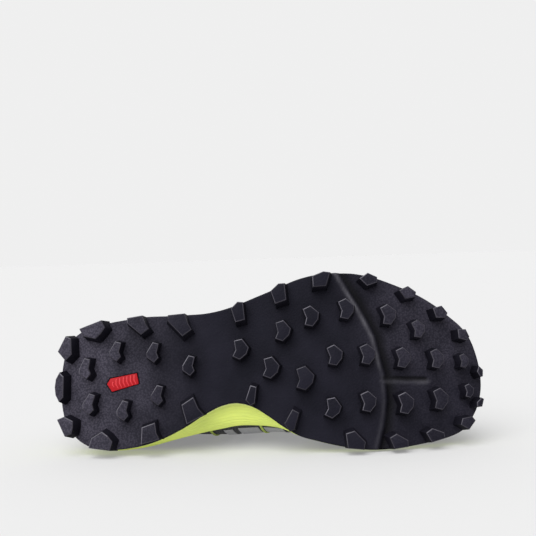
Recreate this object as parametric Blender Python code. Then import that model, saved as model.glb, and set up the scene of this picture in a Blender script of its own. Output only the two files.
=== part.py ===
"""Trail running shoe for the right foot, lying on its medial side.

Every piece is first modelled standing: x runs from heel to toe, y towards the medial side and
z up from the ground under the studs. The sole follows one plan outline, and the upper and what
lies on it follow one family of cross sections. The finished shoe is then rolled over until its
sole edge and its upper touch the floor.
"""
import math

import bmesh
import bpy
from mathutils import Matrix, Vector
from mathutils.geometry import intersect_point_tri

MM = 0.001

# Driving sizes
SOLE_LENGTH = 287 * MM
BALL_WIDTH = 116 * MM
GAP = 0.3 * MM

# Outsole
STUD_DEPTH = 8.5 * MM
PLATE = 3 * MM
TOE_SPRING = 24 * MM
HEEL_BEVEL = 9 * MM
ARCH_RISE = 2 * MM
SPRING_START = 0.66
BEVEL_END = 0.22
ARCH_START = 0.24
ARCH_END = 0.60
STUD_DRAFT = 1.26
STUD_ROOT = 1.5 * MM
GROOVE_WIDTH = 10.5 * MM
BRANCH_WIDTH = 4.6 * MM
GROOVE_DEPTH = 1.2 * MM

# Badge set into the heel of the outsole
BADGE_LENGTH = 22 * MM
BADGE_WIDTH = 12.6 * MM
BADGE_THICKNESS = 1.5 * MM
BADGE_RECESS = 1.6 * MM
BADGE_MARGIN = 1.1 * MM

# Midsole
HEEL_FOAM = 19 * MM
BALL_FOAM = 10.5 * MM
TOE_FOAM = 7 * MM
FOAM_BULGE = 1.2 * MM

# Upper
HEEL_SETBACK = 6 * MM
TOE_SETBACK = 6 * MM
INSTEP_HEIGHT = 80 * MM
ANKLE_HEIGHT = 122 * MM
HEEL_HEIGHT = 80 * MM
ANKLE_DIP = 57 * MM
THROAT_HEIGHT = 88 * MM
HEEL_CURVE = 8 * MM
BULGE_HEIGHT = 52 * MM
WALL = 2 * MM
OVERLAY = 1.2 * MM
INSOLE = 4.5 * MM
INSOLE_CLEARANCE = 0.6 * MM

# Throat, tongue and laces
THROAT_START = 0.400 * SOLE_LENGTH
THROAT_END = 0.678 * SOLE_LENGTH
THROAT_TOP_WIDTH = 38 * MM
THROAT_END_WIDTH = 20 * MM
THROAT_SHIFT = 4 * MM
EYESTAY_WIDTH = 15 * MM
EYESTAY_REACH = 0.071 * SOLE_LENGTH
EYESTAY_SETBACK = 0.4 * MM
EYELET_SETBACK = 7 * MM
EYELET_RADIUS = 2.2 * MM
EYELET_PAIRS = 6
EYELET_FIRST = 0.436 * SOLE_LENGTH
EYELET_LAST = 0.646 * SOLE_LENGTH
TONGUE = 3 * MM
TONGUE_WIDTH = 62 * MM
TONGUE_TOP = 108 * MM
TONGUE_START = 0.343 * SOLE_LENGTH
TONGUE_OVERLAP = 13 * MM
LACE = 1.6 * MM
LACE_WIDTH = 5.5 * MM

# Resolution
SOLE_STEPS = 38
FORM_STEPS = 32
HALF_TURNS = 9

# How deep the floor flattens what rests on it
FLOOR_FLAT = 0.35 * MM

# Plan outline of the outsole: station is the share of the sole's length from the heel, medial
# and lateral are distances from the foot's axis and flares how much further out the midsole's
# top edge lies, all as shares of the ball width.
SOLE_COLUMNS = ("station", "medial", "lateral", "medial_flare", "lateral_flare")
SOLE_ROWS = (
    (0.000, 0.078, -0.078, 0.000, 0.000),
    (0.010, 0.258, 0.124, 0.000, 0.000),
    (0.032, 0.352, 0.216, 0.000, 0.000),
    (0.082, 0.430, 0.276, 0.008, 0.000),
    (0.160, 0.438, 0.314, 0.016, 0.000),
    (0.210, 0.415, 0.330, 0.016, 0.000),
    (0.270, 0.357, 0.335, 0.030, 0.000),
    (0.310, 0.302, 0.341, 0.060, 0.000),
    (0.350, 0.237, 0.349, 0.102, 0.000),
    (0.385, 0.192, 0.367, 0.130, 0.000),
    (0.420, 0.173, 0.395, 0.132, 0.000),
    (0.460, 0.194, 0.435, 0.108, 0.000),
    (0.500, 0.252, 0.475, 0.056, 0.000),
    (0.530, 0.305, 0.507, 0.016, 0.000),
    (0.570, 0.361, 0.545, 0.000, 0.000),
    (0.610, 0.389, 0.568, 0.000, 0.000),
    (0.660, 0.417, 0.578, 0.000, 0.000),
    (0.720, 0.438, 0.563, 0.000, 0.000),
    (0.800, 0.429, 0.502, 0.000, 0.000),
    (0.850, 0.408, 0.450, 0.000, 0.000),
    (0.890, 0.386, 0.394, 0.000, 0.000),
    (0.920, 0.366, 0.340, 0.000, 0.000),
    (0.955, 0.322, 0.270, 0.000, 0.000),
    (0.975, 0.262, 0.204, 0.000, 0.000),
    (0.990, 0.192, 0.108, 0.000, 0.000),
    (1.000, 0.057, -0.057, 0.000, 0.000),
)

# Midsole side wall: share of its height, share of the flare reached, outward swell as a share
# of the foam's bulge.
FOAM_LEVELS = (
    (0.00, 0.00, -1.1),
    (0.12, 0.10, -0.6),
    (0.42, 0.62, -0.1),
    (0.80, 0.98, -0.2),
    (1.00, 1.00, -0.9),
)

# Cross sections of the upper: station is the share of the upper's length, widths, bulges and
# ridge shift are shares of the ball width, height is a share of the instep height, square is
# the section's exponent (2 is round) and taper how far it narrows towards its top.
FORM_COLUMNS = (
    "station", "medial", "lateral", "medial_bulge", "lateral_bulge", "height", "shift", "square", "taper",
)
FORM_ROWS = (
    (0.000, 0.068, -0.068, 0.000, 0.000, 1.50, 0.05, 3.0, 0.28),
    (0.020, 0.230, 0.094, 0.008, 0.008, 1.51, 0.05, 3.0, 0.28),
    (0.060, 0.322, 0.186, 0.014, 0.014, 1.52, 0.05, 3.0, 0.28),
    (0.120, 0.370, 0.238, 0.020, 0.016, 1.525, 0.05, 3.0, 0.28),
    (0.200, 0.356, 0.258, 0.024, 0.016, 1.525, 0.04, 3.0, 0.28),
    (0.300, 0.306, 0.272, 0.054, 0.018, 1.50, 0.03, 2.9, 0.26),
    (0.360, 0.286, 0.292, 0.074, 0.018, 1.42, 0.03, 2.7, 0.22),
    (0.420, 0.280, 0.324, 0.076, 0.018, 1.24, 0.03, 2.4, 0.16),
    (0.500, 0.290, 0.396, 0.056, 0.016, 1.00, 0.04, 2.1, 0.08),
    (0.600, 0.344, 0.478, 0.026, 0.014, 0.815, 0.05, 2.0, 0.03),
    (0.680, 0.370, 0.502, 0.020, 0.014, 0.700, 0.05, 2.0, 0.00),
    (0.760, 0.384, 0.476, 0.018, 0.014, 0.605, 0.06, 2.1, 0.00),
    (0.840, 0.372, 0.408, 0.016, 0.014, 0.520, 0.06, 2.2, 0.00),
    (0.910, 0.330, 0.306, 0.014, 0.012, 0.440, 0.06, 2.3, 0.00),
    (0.960, 0.262, 0.208, 0.010, 0.010, 0.355, 0.06, 2.4, 0.00),
    (0.985, 0.186, 0.098, 0.006, 0.006, 0.270, 0.06, 2.4, 0.00),
    (1.000, 0.058, -0.058, 0.000, 0.000, 0.150, 0.05, 2.4, 0.00),
)

# Forefoot studs: share of the sole's length, distance to the medial side as a share of the ball
# width, size and turn in degrees.
DRIVE_STUDS = (
    (0.599, -0.315, 1.00, 0),
    (0.679, -0.355, 1.00, 0),
    (0.653, -0.092, 1.00, 0),
    (0.725, -0.097, 1.00, 0),
    (0.585, 0.038, 1.15, 6),
    (0.648, 0.206, 1.00, 14),
    (0.726, 0.170, 1.00, 0),
    (0.508, -0.023, 1.05, 10),
    (0.535, -0.233, 1.00, 8),
    (0.436, -0.130, 1.00, 12),
    (0.772, -0.324, 1.00, -4),
    (0.839, -0.246, 0.88, -6),
    (0.804, -0.079, 1.00, 0),
    (0.881, -0.077, 0.95, 0),
    (0.944, -0.069, 0.70, 0),
    (0.809, 0.178, 1.05, 0),
    (0.888, 0.153, 1.05, 0),
    (0.955, 0.103, 0.68, 0),
)

# Heel studs, in the same columns.
BRAKE_STUDS = (
    (0.146, -0.119, 1.00, 0),
    (0.075, -0.022, 1.05, -4),
    (0.232, -0.112, 1.00, 0),
    (0.314, -0.036, 1.00, 0),
    (0.243, 0.134, 1.00, 0),
    (0.085, 0.182, 1.05, 4),
    (0.165, 0.220, 1.00, 0),
)

# Studs along the sole's edge: the outline they follow, side (1 medial, -1 lateral), station, then
# inset from the edge, length along it and depth into the sole as shares of the ball width.
EDGE_STUDS = (
    ("house", -1, 0.016, -0.010, 0.130, 0.090),
    ("dome", -1, 0.088, -0.008, 0.155, 0.095),
    ("spur", -1, 0.195, 0.000, 0.125, 0.110),
    ("spur", -1, 0.291, 0.000, 0.135, 0.130),
    ("block", -1, 0.424, -0.004, 0.080, 0.112),
    ("block", -1, 0.520, -0.006, 0.095, 0.105),
    ("block", -1, 0.620, 0.000, 0.108, 0.085),
    ("arrow", -1, 0.730, -0.004, 0.102, 0.074),
    ("arrow", -1, 0.819, -0.004, 0.100, 0.076),
    ("arrow", -1, 0.897, 0.004, 0.094, 0.078),
    ("arrow", -1, 0.958, 0.022, 0.084, 0.070),
    ("arrow", -1, 0.998, 0.022, 0.066, 0.040),
    ("house", 1, 0.992, 0.012, 0.060, 0.040),
    ("house", 1, 0.961, 0.004, 0.086, 0.074),
    ("house", 1, 0.877, 0.004, 0.108, 0.076),
    ("house", 1, 0.793, 0.000, 0.104, 0.084),
    ("house", 1, 0.693, -0.004, 0.116, 0.102),
    ("slender", 1, 0.544, 0.000, 0.070, 0.116),
    ("slender", 1, 0.455, 0.004, 0.058, 0.110),
    ("wedge", 1, 0.331, -0.006, 0.118, 0.125),
    ("wedge", 1, 0.230, 0.000, 0.118, 0.104),
    ("dome", 1, 0.114, 0.000, 0.140, 0.106),
    ("dome", 1, 0.021, -0.012, 0.120, 0.090),
)

# Stud behind the heel: its length and depth as shares of the ball width.
HEEL_STUD = (0.170, 0.052)

# Outlines of the stud ends, in shares of the ball width: towards the toe, towards the medial side.
DRIVE_SHAPE = (
    (-0.048, -0.042), (-0.006, -0.062), (0.042, -0.022), (0.038, 0.017),
    (0.007, 0.056), (-0.038, 0.047), (-0.028, 0.008),
)
BRAKE_SHAPE = (
    (-0.036, -0.003), (-0.001, -0.062), (0.034, -0.053), (0.022, -0.003),
    (0.034, 0.026), (0.008, 0.055), (-0.033, 0.026),
)

# Outlines of the edge studs: along the edge towards the toe and into the sole, as shares of the
# stud's half length and of its depth.
EDGE_SHAPES = {
    "arrow": ((-1.0, 0.58), (-0.25, 0.0), (0.88, 0.16), (1.0, 0.56), (0.0, 1.0)),
    "block": ((-0.9, 0.2), (0.3, 0.0), (1.0, 0.12), (0.4, 1.0), (-1.0, 0.95)),
    "dome": ((-1.0, 0.08), (0.83, 0.0), (1.0, 0.5), (0.57, 0.78), (0.04, 1.0), (-0.83, 0.61)),
    "house": ((-0.6, 0.0), (0.95, 0.05), (1.0, 0.48), (-0.2, 1.0), (-1.0, 0.78)),
    "slender": ((-0.9, 0.18), (0.4, 0.0), (1.0, 0.2), (0.25, 1.0), (-1.0, 0.98)),
    "spur": ((-0.94, 0.03), (0.48, 0.0), (0.72, 0.46), (1.0, 0.73), (0.18, 1.0), (-1.0, 0.29)),
    "wedge": ((-0.95, 0.1), (0.9, 0.0), (0.8, 0.4), (1.0, 0.95), (-0.35, 0.95)),
}

# Flex grooves: station and distance to the medial side as a share of the ball width.
MAIN_GROOVE = (
    (0.655, -0.60), (0.684, -0.476), (0.703, -0.400), (0.728, -0.290), (0.744, -0.210),
    (0.757, -0.078), (0.768, 0.020), (0.772, 0.162), (0.765, 0.305), (0.748, 0.47),
)
BRANCH_GROOVE = ((0.768, 0.030), (0.815, 0.032), (0.862, 0.034))

# Badge outline: shares of its own length and width, towards the toe and the medial side.
BADGE_SHAPE = ((-0.49, 0.09), (-0.38, -0.21), (0.43, -0.50), (0.50, 0.08), (-0.33, 0.50))
BADGE_PLACE = (0.1555, 0.052)

# Side view lines on the upper: share of the upper's length, height above the midsole as a share
# of the named height beside it.
COLLAR_LINE = (
    (-0.040, HEEL_HEIGHT, 1.00), (0.030, HEEL_HEIGHT, 1.00), (0.070, HEEL_HEIGHT, 0.96),
    (0.130, ANKLE_DIP, 1.16), (0.190, ANKLE_DIP, 1.02), (0.240, ANKLE_DIP, 1.00),
    (0.300, ANKLE_DIP, 1.08), (0.360, THROAT_HEIGHT, 0.84), (0.410, THROAT_HEIGHT, 1.00),
    (0.470, THROAT_HEIGHT, 1.14), (0.520, THROAT_HEIGHT, 1.60),
)
TOE_CAP_LINE = (
    (0.700, -0.20), (0.735, 0.10), (0.790, 0.19), (0.850, 0.25), (0.905, 0.33), (0.945, 0.46), (1.100, 0.60),
)
EYESTAY_LINE = (
    (0.270, 0.72), (0.330, 0.74), (0.400, 0.73), (0.480, 0.66), (0.560, 0.55), (0.640, 0.44), (0.760, 0.30),
)
TONGUE_LINE = (
    (0.260, 1.16), (0.330, 1.06), (0.400, 0.90), (0.480, 0.70), (0.560, 0.54), (0.640, 0.43), (0.800, 0.30),
)
COUNTER_LINE = (
    (-0.060, 0.78), (0.040, 0.78), (0.090, 0.70), (0.150, 0.50), (0.220, 0.26), (0.290, 0.10), (0.330, -0.20),
)

# Node name, colour, roughness and density in kg/m3
FINISHES = {
    "outsole": ((0.030, 0.028, 0.040), 0.75, 1050),
    "outsole_badge": ((0.75, 0.03, 0.05), 0.45, 1100),
    "midsole": ((0.62, 0.76, 0.15), 0.70, 190),
    "insole": ((0.05, 0.05, 0.06), 0.90, 150),
    "upper": ((0.040, 0.040, 0.050), 0.85, 420),
    "toe_cap": ((0.025, 0.025, 0.032), 0.60, 900),
    "heel_counter": ((0.030, 0.030, 0.038), 0.60, 900),
    "eyestay": ((0.030, 0.030, 0.038), 0.60, 700),
    "tongue": ((0.045, 0.045, 0.055), 0.90, 250),
    "laces": ((0.62, 0.76, 0.15), 0.85, 700),
}

UPPER_LENGTH = SOLE_LENGTH - HEEL_SETBACK - TOE_SETBACK


# Curves through the tables

def slopes(keys, values):
    """Slope of a smooth curve at each of its rows."""
    steps = [b - a for a, b in zip(keys, keys[1:])]
    rates = [(b - a) / step for a, b, step in zip(values, values[1:], steps)]
    inner = [
        (rates[i - 1] * steps[i] + rates[i] * steps[i - 1]) / (steps[i - 1] + steps[i])
        for i in range(1, len(rates))
    ]
    return [rates[0]] + inner + [rates[-1]]


def smooth(keys, values, key):
    """Value at key of the smooth curve through the rows."""
    tangents = slopes(keys, values)
    index = 0
    while index < len(keys) - 2 and key > keys[index + 1]:
        index += 1
    step = keys[index + 1] - keys[index]
    t = (key - keys[index]) / step
    start = (1 + 2 * t) * (1 - t) ** 2 * values[index] + t * (1 - t) ** 2 * step * tangents[index]
    end = t * t * (3 - 2 * t) * values[index + 1] + t * t * (t - 1) * step * tangents[index + 1]
    return start + end


def turn_of(station):
    """Angle that spaces the stations closely at heel and toe, where the outline turns."""
    return math.acos(1 - 2 * min(max(station, 0), 1))


def table(columns, rows):
    """Columns of a table by name, with the turn of each row's station."""
    named = {name: [row[i] for row in rows] for i, name in enumerate(columns)}
    named["turn"] = [turn_of(station) for station in named["station"]]
    return named


SOLE_TABLE = table(SOLE_COLUMNS, SOLE_ROWS)
FORM_TABLE = table(FORM_COLUMNS, FORM_ROWS)


def ease(value):
    """Smooth step from 0 to 1."""
    t = min(max(value, 0), 1)
    return t * t * (3 - 2 * t)


# Heights of the sole's layers

def plate_bottom(x):
    """Height of the outsole's face between the studs."""
    s = x / SOLE_LENGTH
    toe = max(0, (s - SPRING_START) / (1 - SPRING_START))
    heel = max(0, (BEVEL_END - s) / BEVEL_END)
    arch = math.sin(math.pi * min(max((s - ARCH_START) / (ARCH_END - ARCH_START), 0), 1)) ** 2
    return STUD_DEPTH + TOE_SPRING * toe ** 1.9 + HEEL_BEVEL * heel ** 2 + ARCH_RISE * arch


def plate_top(x):
    """Height of the outsole's upper face."""
    return plate_bottom(x) + PLATE


def foam_height(x):
    """Thickness of the midsole."""
    s = x / SOLE_LENGTH
    ball = HEEL_FOAM + (BALL_FOAM - HEEL_FOAM) * ease((s - 0.18) / 0.50)
    return ball + (TOE_FOAM - BALL_FOAM) * ease((s - 0.80) / 0.20)


def footbed(x):
    """Height of the midsole's upper face."""
    return plate_top(x) + GAP + foam_height(x)


# Outlines

def sole_edge(turn, side, flare=0.0):
    """Plan point of the sole's edge at a turn, medial for side 1 and lateral for side -1."""
    name = "medial" if side > 0 else "lateral"
    width = smooth(SOLE_TABLE["turn"], SOLE_TABLE[name], turn)
    extra = smooth(SOLE_TABLE["turn"], SOLE_TABLE[name + "_flare"], turn) * flare
    x = SOLE_LENGTH * (1 - math.cos(turn)) / 2
    return Vector((x, side * (width + extra) * BALL_WIDTH))


def sole_ring(flare=0.0, offset=0.0):
    """Plan points of the outline from the heel round the medial side and back, moved outwards."""
    turns = [math.pi * i / SOLE_STEPS for i in range(SOLE_STEPS + 1)]
    medial = [sole_edge(turn, 1, flare) for turn in turns]
    lateral = [sole_edge(turn, -1, flare) for turn in turns[1:-1]]
    return offset_ring(medial + lateral[::-1], offset)


def offset_ring(points, distance):
    """Closed ring moved outwards; the ring runs clockwise seen from above."""
    moved = []
    for i, point in enumerate(points):
        along = points[(i + 1) % len(points)] - points[i - 1]
        outward = Vector((-along.y, along.x)).normalized()
        moved.append(point + outward * distance)
    return moved


# Mesh helpers

def new_object(name, mesh_data):
    """Object of this name from a bmesh, with its faces turned outwards."""
    bmesh.ops.remove_doubles(mesh_data, verts=mesh_data.verts, dist=0.002 * MM)
    bmesh.ops.dissolve_degenerate(mesh_data, edges=mesh_data.edges, dist=0.001 * MM)
    bmesh.ops.recalc_face_normals(mesh_data, faces=mesh_data.faces)
    mesh = bpy.data.meshes.new(name)
    mesh_data.to_mesh(mesh)
    mesh_data.free()
    shape = bpy.data.objects.new(name, mesh)
    bpy.context.scene.collection.objects.link(shape)
    return shape


def ring_solid(name, rings):
    """Solid through rings of points that start at the heel and turn back at the toe."""
    shape = bmesh.new()
    loops = [[shape.verts.new(point) for point in ring] for ring in rings]
    count = len(loops[0])
    for low, high in zip(loops, loops[1:]):
        for i in range(count):
            j = (i + 1) % count
            shape.faces.new((low[i], low[j], high[j], high[i]))
    for loop in (loops[0], loops[-1]):
        half = count // 2
        for i in range(half):
            corners = [loop[i], loop[i + 1], loop[(count - i - 1) % count], loop[(count - i) % count]]
            shape.faces.new(list(dict.fromkeys(corners)))
    return new_object(name, shape)


def prism(name, outline, low, high, place):
    """Straight prism on a closed outline; place makes a point from two plan values and a depth."""
    shape = bmesh.new()
    bottom = [shape.verts.new(place(a, b, low)) for a, b in outline]
    top = [shape.verts.new(place(a, b, high)) for a, b in outline]
    shape.faces.new(bottom)
    shape.faces.new(top)
    for i in range(len(outline)):
        j = (i + 1) % len(outline)
        shape.faces.new((bottom[i], bottom[j], top[j], top[i]))
    bmesh.ops.triangulate(shape, faces=shape.faces)
    return new_object(name, shape)


def plan_prism(name, outline, low, high):
    """Upright prism on an outline in plan."""
    return prism(name, outline, low, high, lambda a, b, depth: (a, b, depth))


def side_prism(name, outline):
    """Prism across the whole shoe on an outline in side view."""
    return prism(name, outline, -BALL_WIDTH, BALL_WIDTH, lambda a, b, depth: (a, depth, b))


def combine(target, tool, operation, crossing=False):
    """Boolean of two solids, applied to the first; crossing tells of bodies that cross in the second."""
    modifier = target.modifiers.new(operation.title(), "BOOLEAN")
    modifier.operation = operation
    modifier.solver = "EXACT"
    modifier.use_self = crossing
    modifier.object = tool
    graph = bpy.context.evaluated_depsgraph_get()
    result = bpy.data.meshes.new_from_object(target.evaluated_get(graph))
    target.modifiers.clear()
    spare = target.data
    target.data = result
    bpy.data.meshes.remove(spare)
    bpy.data.objects.remove(tool)
    return target


def join(name, shapes):
    """One solid from several that cross."""
    whole = shapes[0]
    for shape in shapes[1:]:
        combine(whole, shape, "UNION")
    whole.name = name
    return whole


def tidy(shape):
    """Merge what a cut left closer than a hundredth of a millimetre."""
    work = bmesh.new()
    work.from_mesh(shape.data)
    bmesh.ops.remove_doubles(work, verts=work.verts, dist=0.01 * MM)
    bmesh.ops.dissolve_degenerate(work, edges=work.edges, dist=0.01 * MM)
    bmesh.ops.triangulate(work, faces=work.faces)
    work.to_mesh(shape.data)
    work.free()


# Outsole

def plate():
    """Rubber plate under the whole foot, its lower edge a little rounded."""
    levels = ((0.0, -0.9), (0.3, 0.0), (1.0, 0.0))
    rings = []
    for share, inset in levels:
        ring = sole_ring(offset=inset * MM)
        rings.append([(p.x, p.y, plate_bottom(p.x) + PLATE * share) for p in ring])
    return ring_solid("outsole", rings)


def add_stud(shape, outline, anchor=None):
    """Stud square on the plate over a plan outline, its root spread from the anchor or its middle."""
    centre = sum((Vector(p) for p in outline), Vector((0, 0))) / len(outline)
    anchor = anchor or centre
    rise = (plate_bottom(centre.x + MM) - plate_bottom(centre.x - MM)) / (2 * MM)
    along = Vector((1, 0, rise)).normalized()
    down = Vector((rise, 0, -1)).normalized()
    foot = Vector((centre.x, centre.y, plate_bottom(centre.x)))
    loops = []
    for scale, height in ((STUD_DRAFT, -STUD_ROOT), (1.0, STUD_DEPTH)):
        loop = []
        for point in outline:
            reach = anchor + (Vector(point) - anchor) * scale - centre
            spread = along * reach.x + Vector((0, reach.y, 0))
            loop.append(shape.verts.new(foot + spread + down * height))
        loops.append(loop)
    root, tip = loops
    faces = [shape.faces.new(root), shape.faces.new(tip)]
    for i in range(len(root)):
        j = (i + 1) % len(root)
        faces.append(shape.faces.new((root[i], root[j], tip[j], tip[i])))
    bmesh.ops.recalc_face_normals(shape, faces=faces)


def field_stud(shape, row, form):
    """Stud away from the edge, from its row and the outline of its end."""
    station, across, size, degrees = row
    cosine = math.cos(math.radians(degrees)) * size * BALL_WIDTH
    sine = math.sin(math.radians(degrees)) * size * BALL_WIDTH
    centre = Vector((station * SOLE_LENGTH, across * BALL_WIDTH))
    outline = [(centre.x + a * cosine - b * sine, centre.y + a * sine + b * cosine) for a, b in form]
    add_stud(shape, outline)


def edge_stud(shape, kind, side, turn, inset, length, depth):
    """Stud whose outer side follows the sole's edge."""
    step = 0.02
    before = sole_edge(turn - step, side)
    after = sole_edge(turn + step, side)
    along = (after - before).normalized()
    inward = Vector((along.y, -along.x)) * side
    anchor = sole_edge(turn, side) + inward * inset * BALL_WIDTH
    outline = []
    for a, b in EDGE_SHAPES[kind]:
        point = anchor + along * length * BALL_WIDTH / 2 * a + inward * depth * BALL_WIDTH * b
        outline.append((point.x, point.y))
    add_stud(shape, outline, anchor)


def heel_stud(shape):
    """Low broad stud across the back of the heel."""
    length, depth = HEEL_STUD
    half = length * BALL_WIDTH / 2
    start = sole_edge(0, 1)
    profile = ((-1.0, 0.55), (-0.55, 0.12), (0.0, 0.0), (0.55, 0.12), (1.0, 0.55), (0.7, 1.1), (-0.7, 1.1))
    outline = [(start.x + b * depth * BALL_WIDTH, start.y + a * half) for a, b in profile]
    add_stud(shape, outline, start)


def studs():
    """All the studs as one set of separate bodies."""
    shape = bmesh.new()
    for row in DRIVE_STUDS:
        field_stud(shape, row, DRIVE_SHAPE)
    for row in BRAKE_STUDS:
        field_stud(shape, row, BRAKE_SHAPE)
    for kind, side, station, inset, length, depth in EDGE_STUDS:
        edge_stud(shape, kind, side, turn_of(station), inset, length, depth)
    heel_stud(shape)
    mesh = bpy.data.meshes.new("studs")
    shape.to_mesh(mesh)
    shape.free()
    group = bpy.data.objects.new("studs", mesh)
    bpy.context.scene.collection.objects.link(group)
    return group


def groove(name, path, width):
    """Cutter for a broad shallow groove along a path on the plate's lower face."""
    points = [Vector((station * SOLE_LENGTH, across * BALL_WIDTH)) for station, across in path]
    shape = bmesh.new()
    loops = []
    for i, point in enumerate(points):
        along = points[min(i + 1, len(points) - 1)] - points[max(i - 1, 0)]
        across = Vector((-along.y, along.x)).normalized() * width / 2
        loop = []
        for share, height in ((1.25, -0.5), (0.3, 1.0), (-0.3, 1.0), (-1.25, -0.5)):
            place = point + across * share
            loop.append(shape.verts.new((place.x, place.y, plate_bottom(place.x) + GROOVE_DEPTH * height)))
        loops.append(loop)
    for first, second in zip(loops, loops[1:]):
        for i in range(4):
            j = (i + 1) % 4
            shape.faces.new((first[i], first[j], second[j], second[i]))
    shape.faces.new(loops[0])
    shape.faces.new(loops[-1])
    bmesh.ops.triangulate(shape, faces=shape.faces)
    return new_object(name, shape)


def badge_outline(margin):
    """Plan outline of the badge, grown by a margin."""
    station, across = BADGE_PLACE
    centre = Vector((station * SOLE_LENGTH, across * BALL_WIDTH))
    points = [centre + Vector((a * BADGE_LENGTH, b * BADGE_WIDTH)) for a, b in BADGE_SHAPE]
    middle = sum(points, Vector((0, 0))) / len(points)
    grown = []
    for point in points:
        away = point - middle
        grown.append(point + away.normalized() * margin)
    return [(p.x, p.y) for p in grown]


def outsole():
    """Plate with its grooves and badge recess, and all its studs."""
    whole = plate()
    centre = BADGE_PLACE[0] * SOLE_LENGTH
    floor = plate_bottom(centre) + BADGE_RECESS
    combine(whole, groove("main_groove", MAIN_GROOVE, GROOVE_WIDTH), "DIFFERENCE")
    combine(whole, groove("branch_groove", BRANCH_GROOVE, BRANCH_WIDTH), "DIFFERENCE")
    combine(whole, plan_prism("recess", badge_outline(BADGE_MARGIN), -STUD_DEPTH, floor), "DIFFERENCE")
    combine(whole, studs(), "UNION", crossing=True)
    return whole


def badge():
    """Red insert in the recess of the heel."""
    seat = plate_bottom(BADGE_PLACE[0] * SOLE_LENGTH) + BADGE_RECESS - GAP
    return plan_prism("outsole_badge", badge_outline(0), seat - BADGE_THICKNESS, seat)


# Midsole and insole

def midsole():
    """Foam layer, wider than the outsole along the medial arch."""
    rings = []
    for share, flare, swell in FOAM_LEVELS:
        ring = sole_ring(flare, swell * FOAM_BULGE)
        rings.append([(p.x, p.y, plate_top(p.x) + GAP + foam_height(p.x) * share) for p in ring])
    return ring_solid("midsole", rings)


def insole():
    """Footbed just inside the upper."""
    inset = -(WALL + INSOLE_CLEARANCE)
    edge = form_points(inset)
    medial = [section[0] for section in edge]
    lateral = [section[-1] for section in edge[1:-1]]
    plan = medial + lateral[::-1]
    rings = []
    for height in (0, INSOLE):
        rings.append([(p.x, p.y, footbed(p.x) + GAP + height) for p in plan])
    return ring_solid("insole", rings)


# The upper's form

def form_value(name, turn):
    """Value of one column of the upper's table at a turn."""
    return smooth(FORM_TABLE["turn"], FORM_TABLE[name], turn)


def heel_curve(x, height):
    """How far the back of the heel lies forward at a height above the footbed."""
    fullest = 0.32 * HEEL_HEIGHT
    above = max(0, height - fullest) / (HEEL_HEIGHT - fullest)
    below = max(0, fullest - height) / fullest
    fade = max(0, 1 - x / (0.3 * UPPER_LENGTH)) ** 2
    return (HEEL_CURVE * above ** 2 + 0.35 * HEEL_CURVE * below ** 2) * fade


def form_section(turn):
    """Points over the upper at one station, from the medial edge over the ridge to the lateral edge."""
    medial = form_value("medial", turn)
    lateral = form_value("lateral", turn)
    middle = (medial - lateral) / 2 * BALL_WIDTH
    half = (medial + lateral) / 2 * BALL_WIDTH
    height = form_value("height", turn) * INSTEP_HEIGHT
    square = form_value("square", turn)
    taper = form_value("taper", turn)
    ridge = form_value("shift", turn) * BALL_WIDTH
    x = UPPER_LENGTH * (1 - math.cos(turn)) / 2
    points = []
    for step in range(2 * HALF_TURNS + 1):
        angle = math.pi / 2 * step / HALF_TURNS
        side = 1 if step <= HALF_TURNS else -1
        share = min(math.sin(angle), 1.0)
        level = share * height
        reach = max(0, 1 - share ** square) ** (1 / square) * (1 - taper * share ** 1.5)
        name = "medial_bulge" if side > 0 else "lateral_bulge"
        swell = form_value(name, turn) * BALL_WIDTH * math.sin(math.pi * min(level / BULGE_HEIGHT, 1))
        lean = (ridge - middle) * share ** 2
        if step == HALF_TURNS:
            reach = swell = 0
        y = middle + lean + side * (half * reach + swell * min(1, reach * 3))
        shift = HEEL_SETBACK + heel_curve(x, level)
        points.append(Vector((x + shift, y, footbed(x + shift) + GAP + level)))
    return points


def form_points(offset, drop=0.0):
    """Sections of the upper's form moved outwards by offset, with the lower edge dropped."""
    grid = [form_section(math.pi * i / FORM_STEPS) for i in range(FORM_STEPS + 1)]
    last = 2 * HALF_TURNS
    moved = []
    for i, section in enumerate(grid):
        before = grid[i - 1] if i > 0 else grid[1][::-1]
        after = grid[i + 1] if i < FORM_STEPS else grid[-2][::-1]
        row = []
        for j, point in enumerate(section):
            along = after[j] - before[j]
            if along.length < 0.01 * MM:
                along = grid[1][j] - grid[0][j] if i == 0 else grid[-1][j] - grid[-2][j]
            over = section[min(j + 1, last)] - section[max(j - 1, 0)]
            outward = over.cross(along).normalized()
            place = point + outward * offset
            if j in (0, last):
                place.z = footbed(place.x) + GAP - drop
            row.append(place)
        moved.append(row)
    return moved


def form_solid(name, offset, drop=0.0, first=0, last=FORM_STEPS):
    """Closed form through the upper's sections from the first to the last."""
    shape = bmesh.new()
    rows = [[shape.verts.new(point) for point in section] for section in form_points(offset, drop)]
    rows = rows[first:last + 1]
    for near, far in zip(rows, rows[1:]):
        for j in range(2 * HALF_TURNS):
            shape.faces.new((near[j], near[j + 1], far[j + 1], far[j]))
        shape.faces.new((near[0], far[0], far[-1], near[-1]))
    if first > 0:
        shape.faces.new(rows[0])
    if last < FORM_STEPS:
        shape.faces.new(rows[-1])
    loose = [vert for vert in shape.verts if not vert.link_faces]
    bmesh.ops.delete(shape, geom=loose, context="VERTS")
    bmesh.ops.remove_doubles(shape, verts=shape.verts, dist=0.002 * MM)
    bmesh.ops.triangulate(shape, faces=shape.faces)
    return new_object(name, shape)


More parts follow.
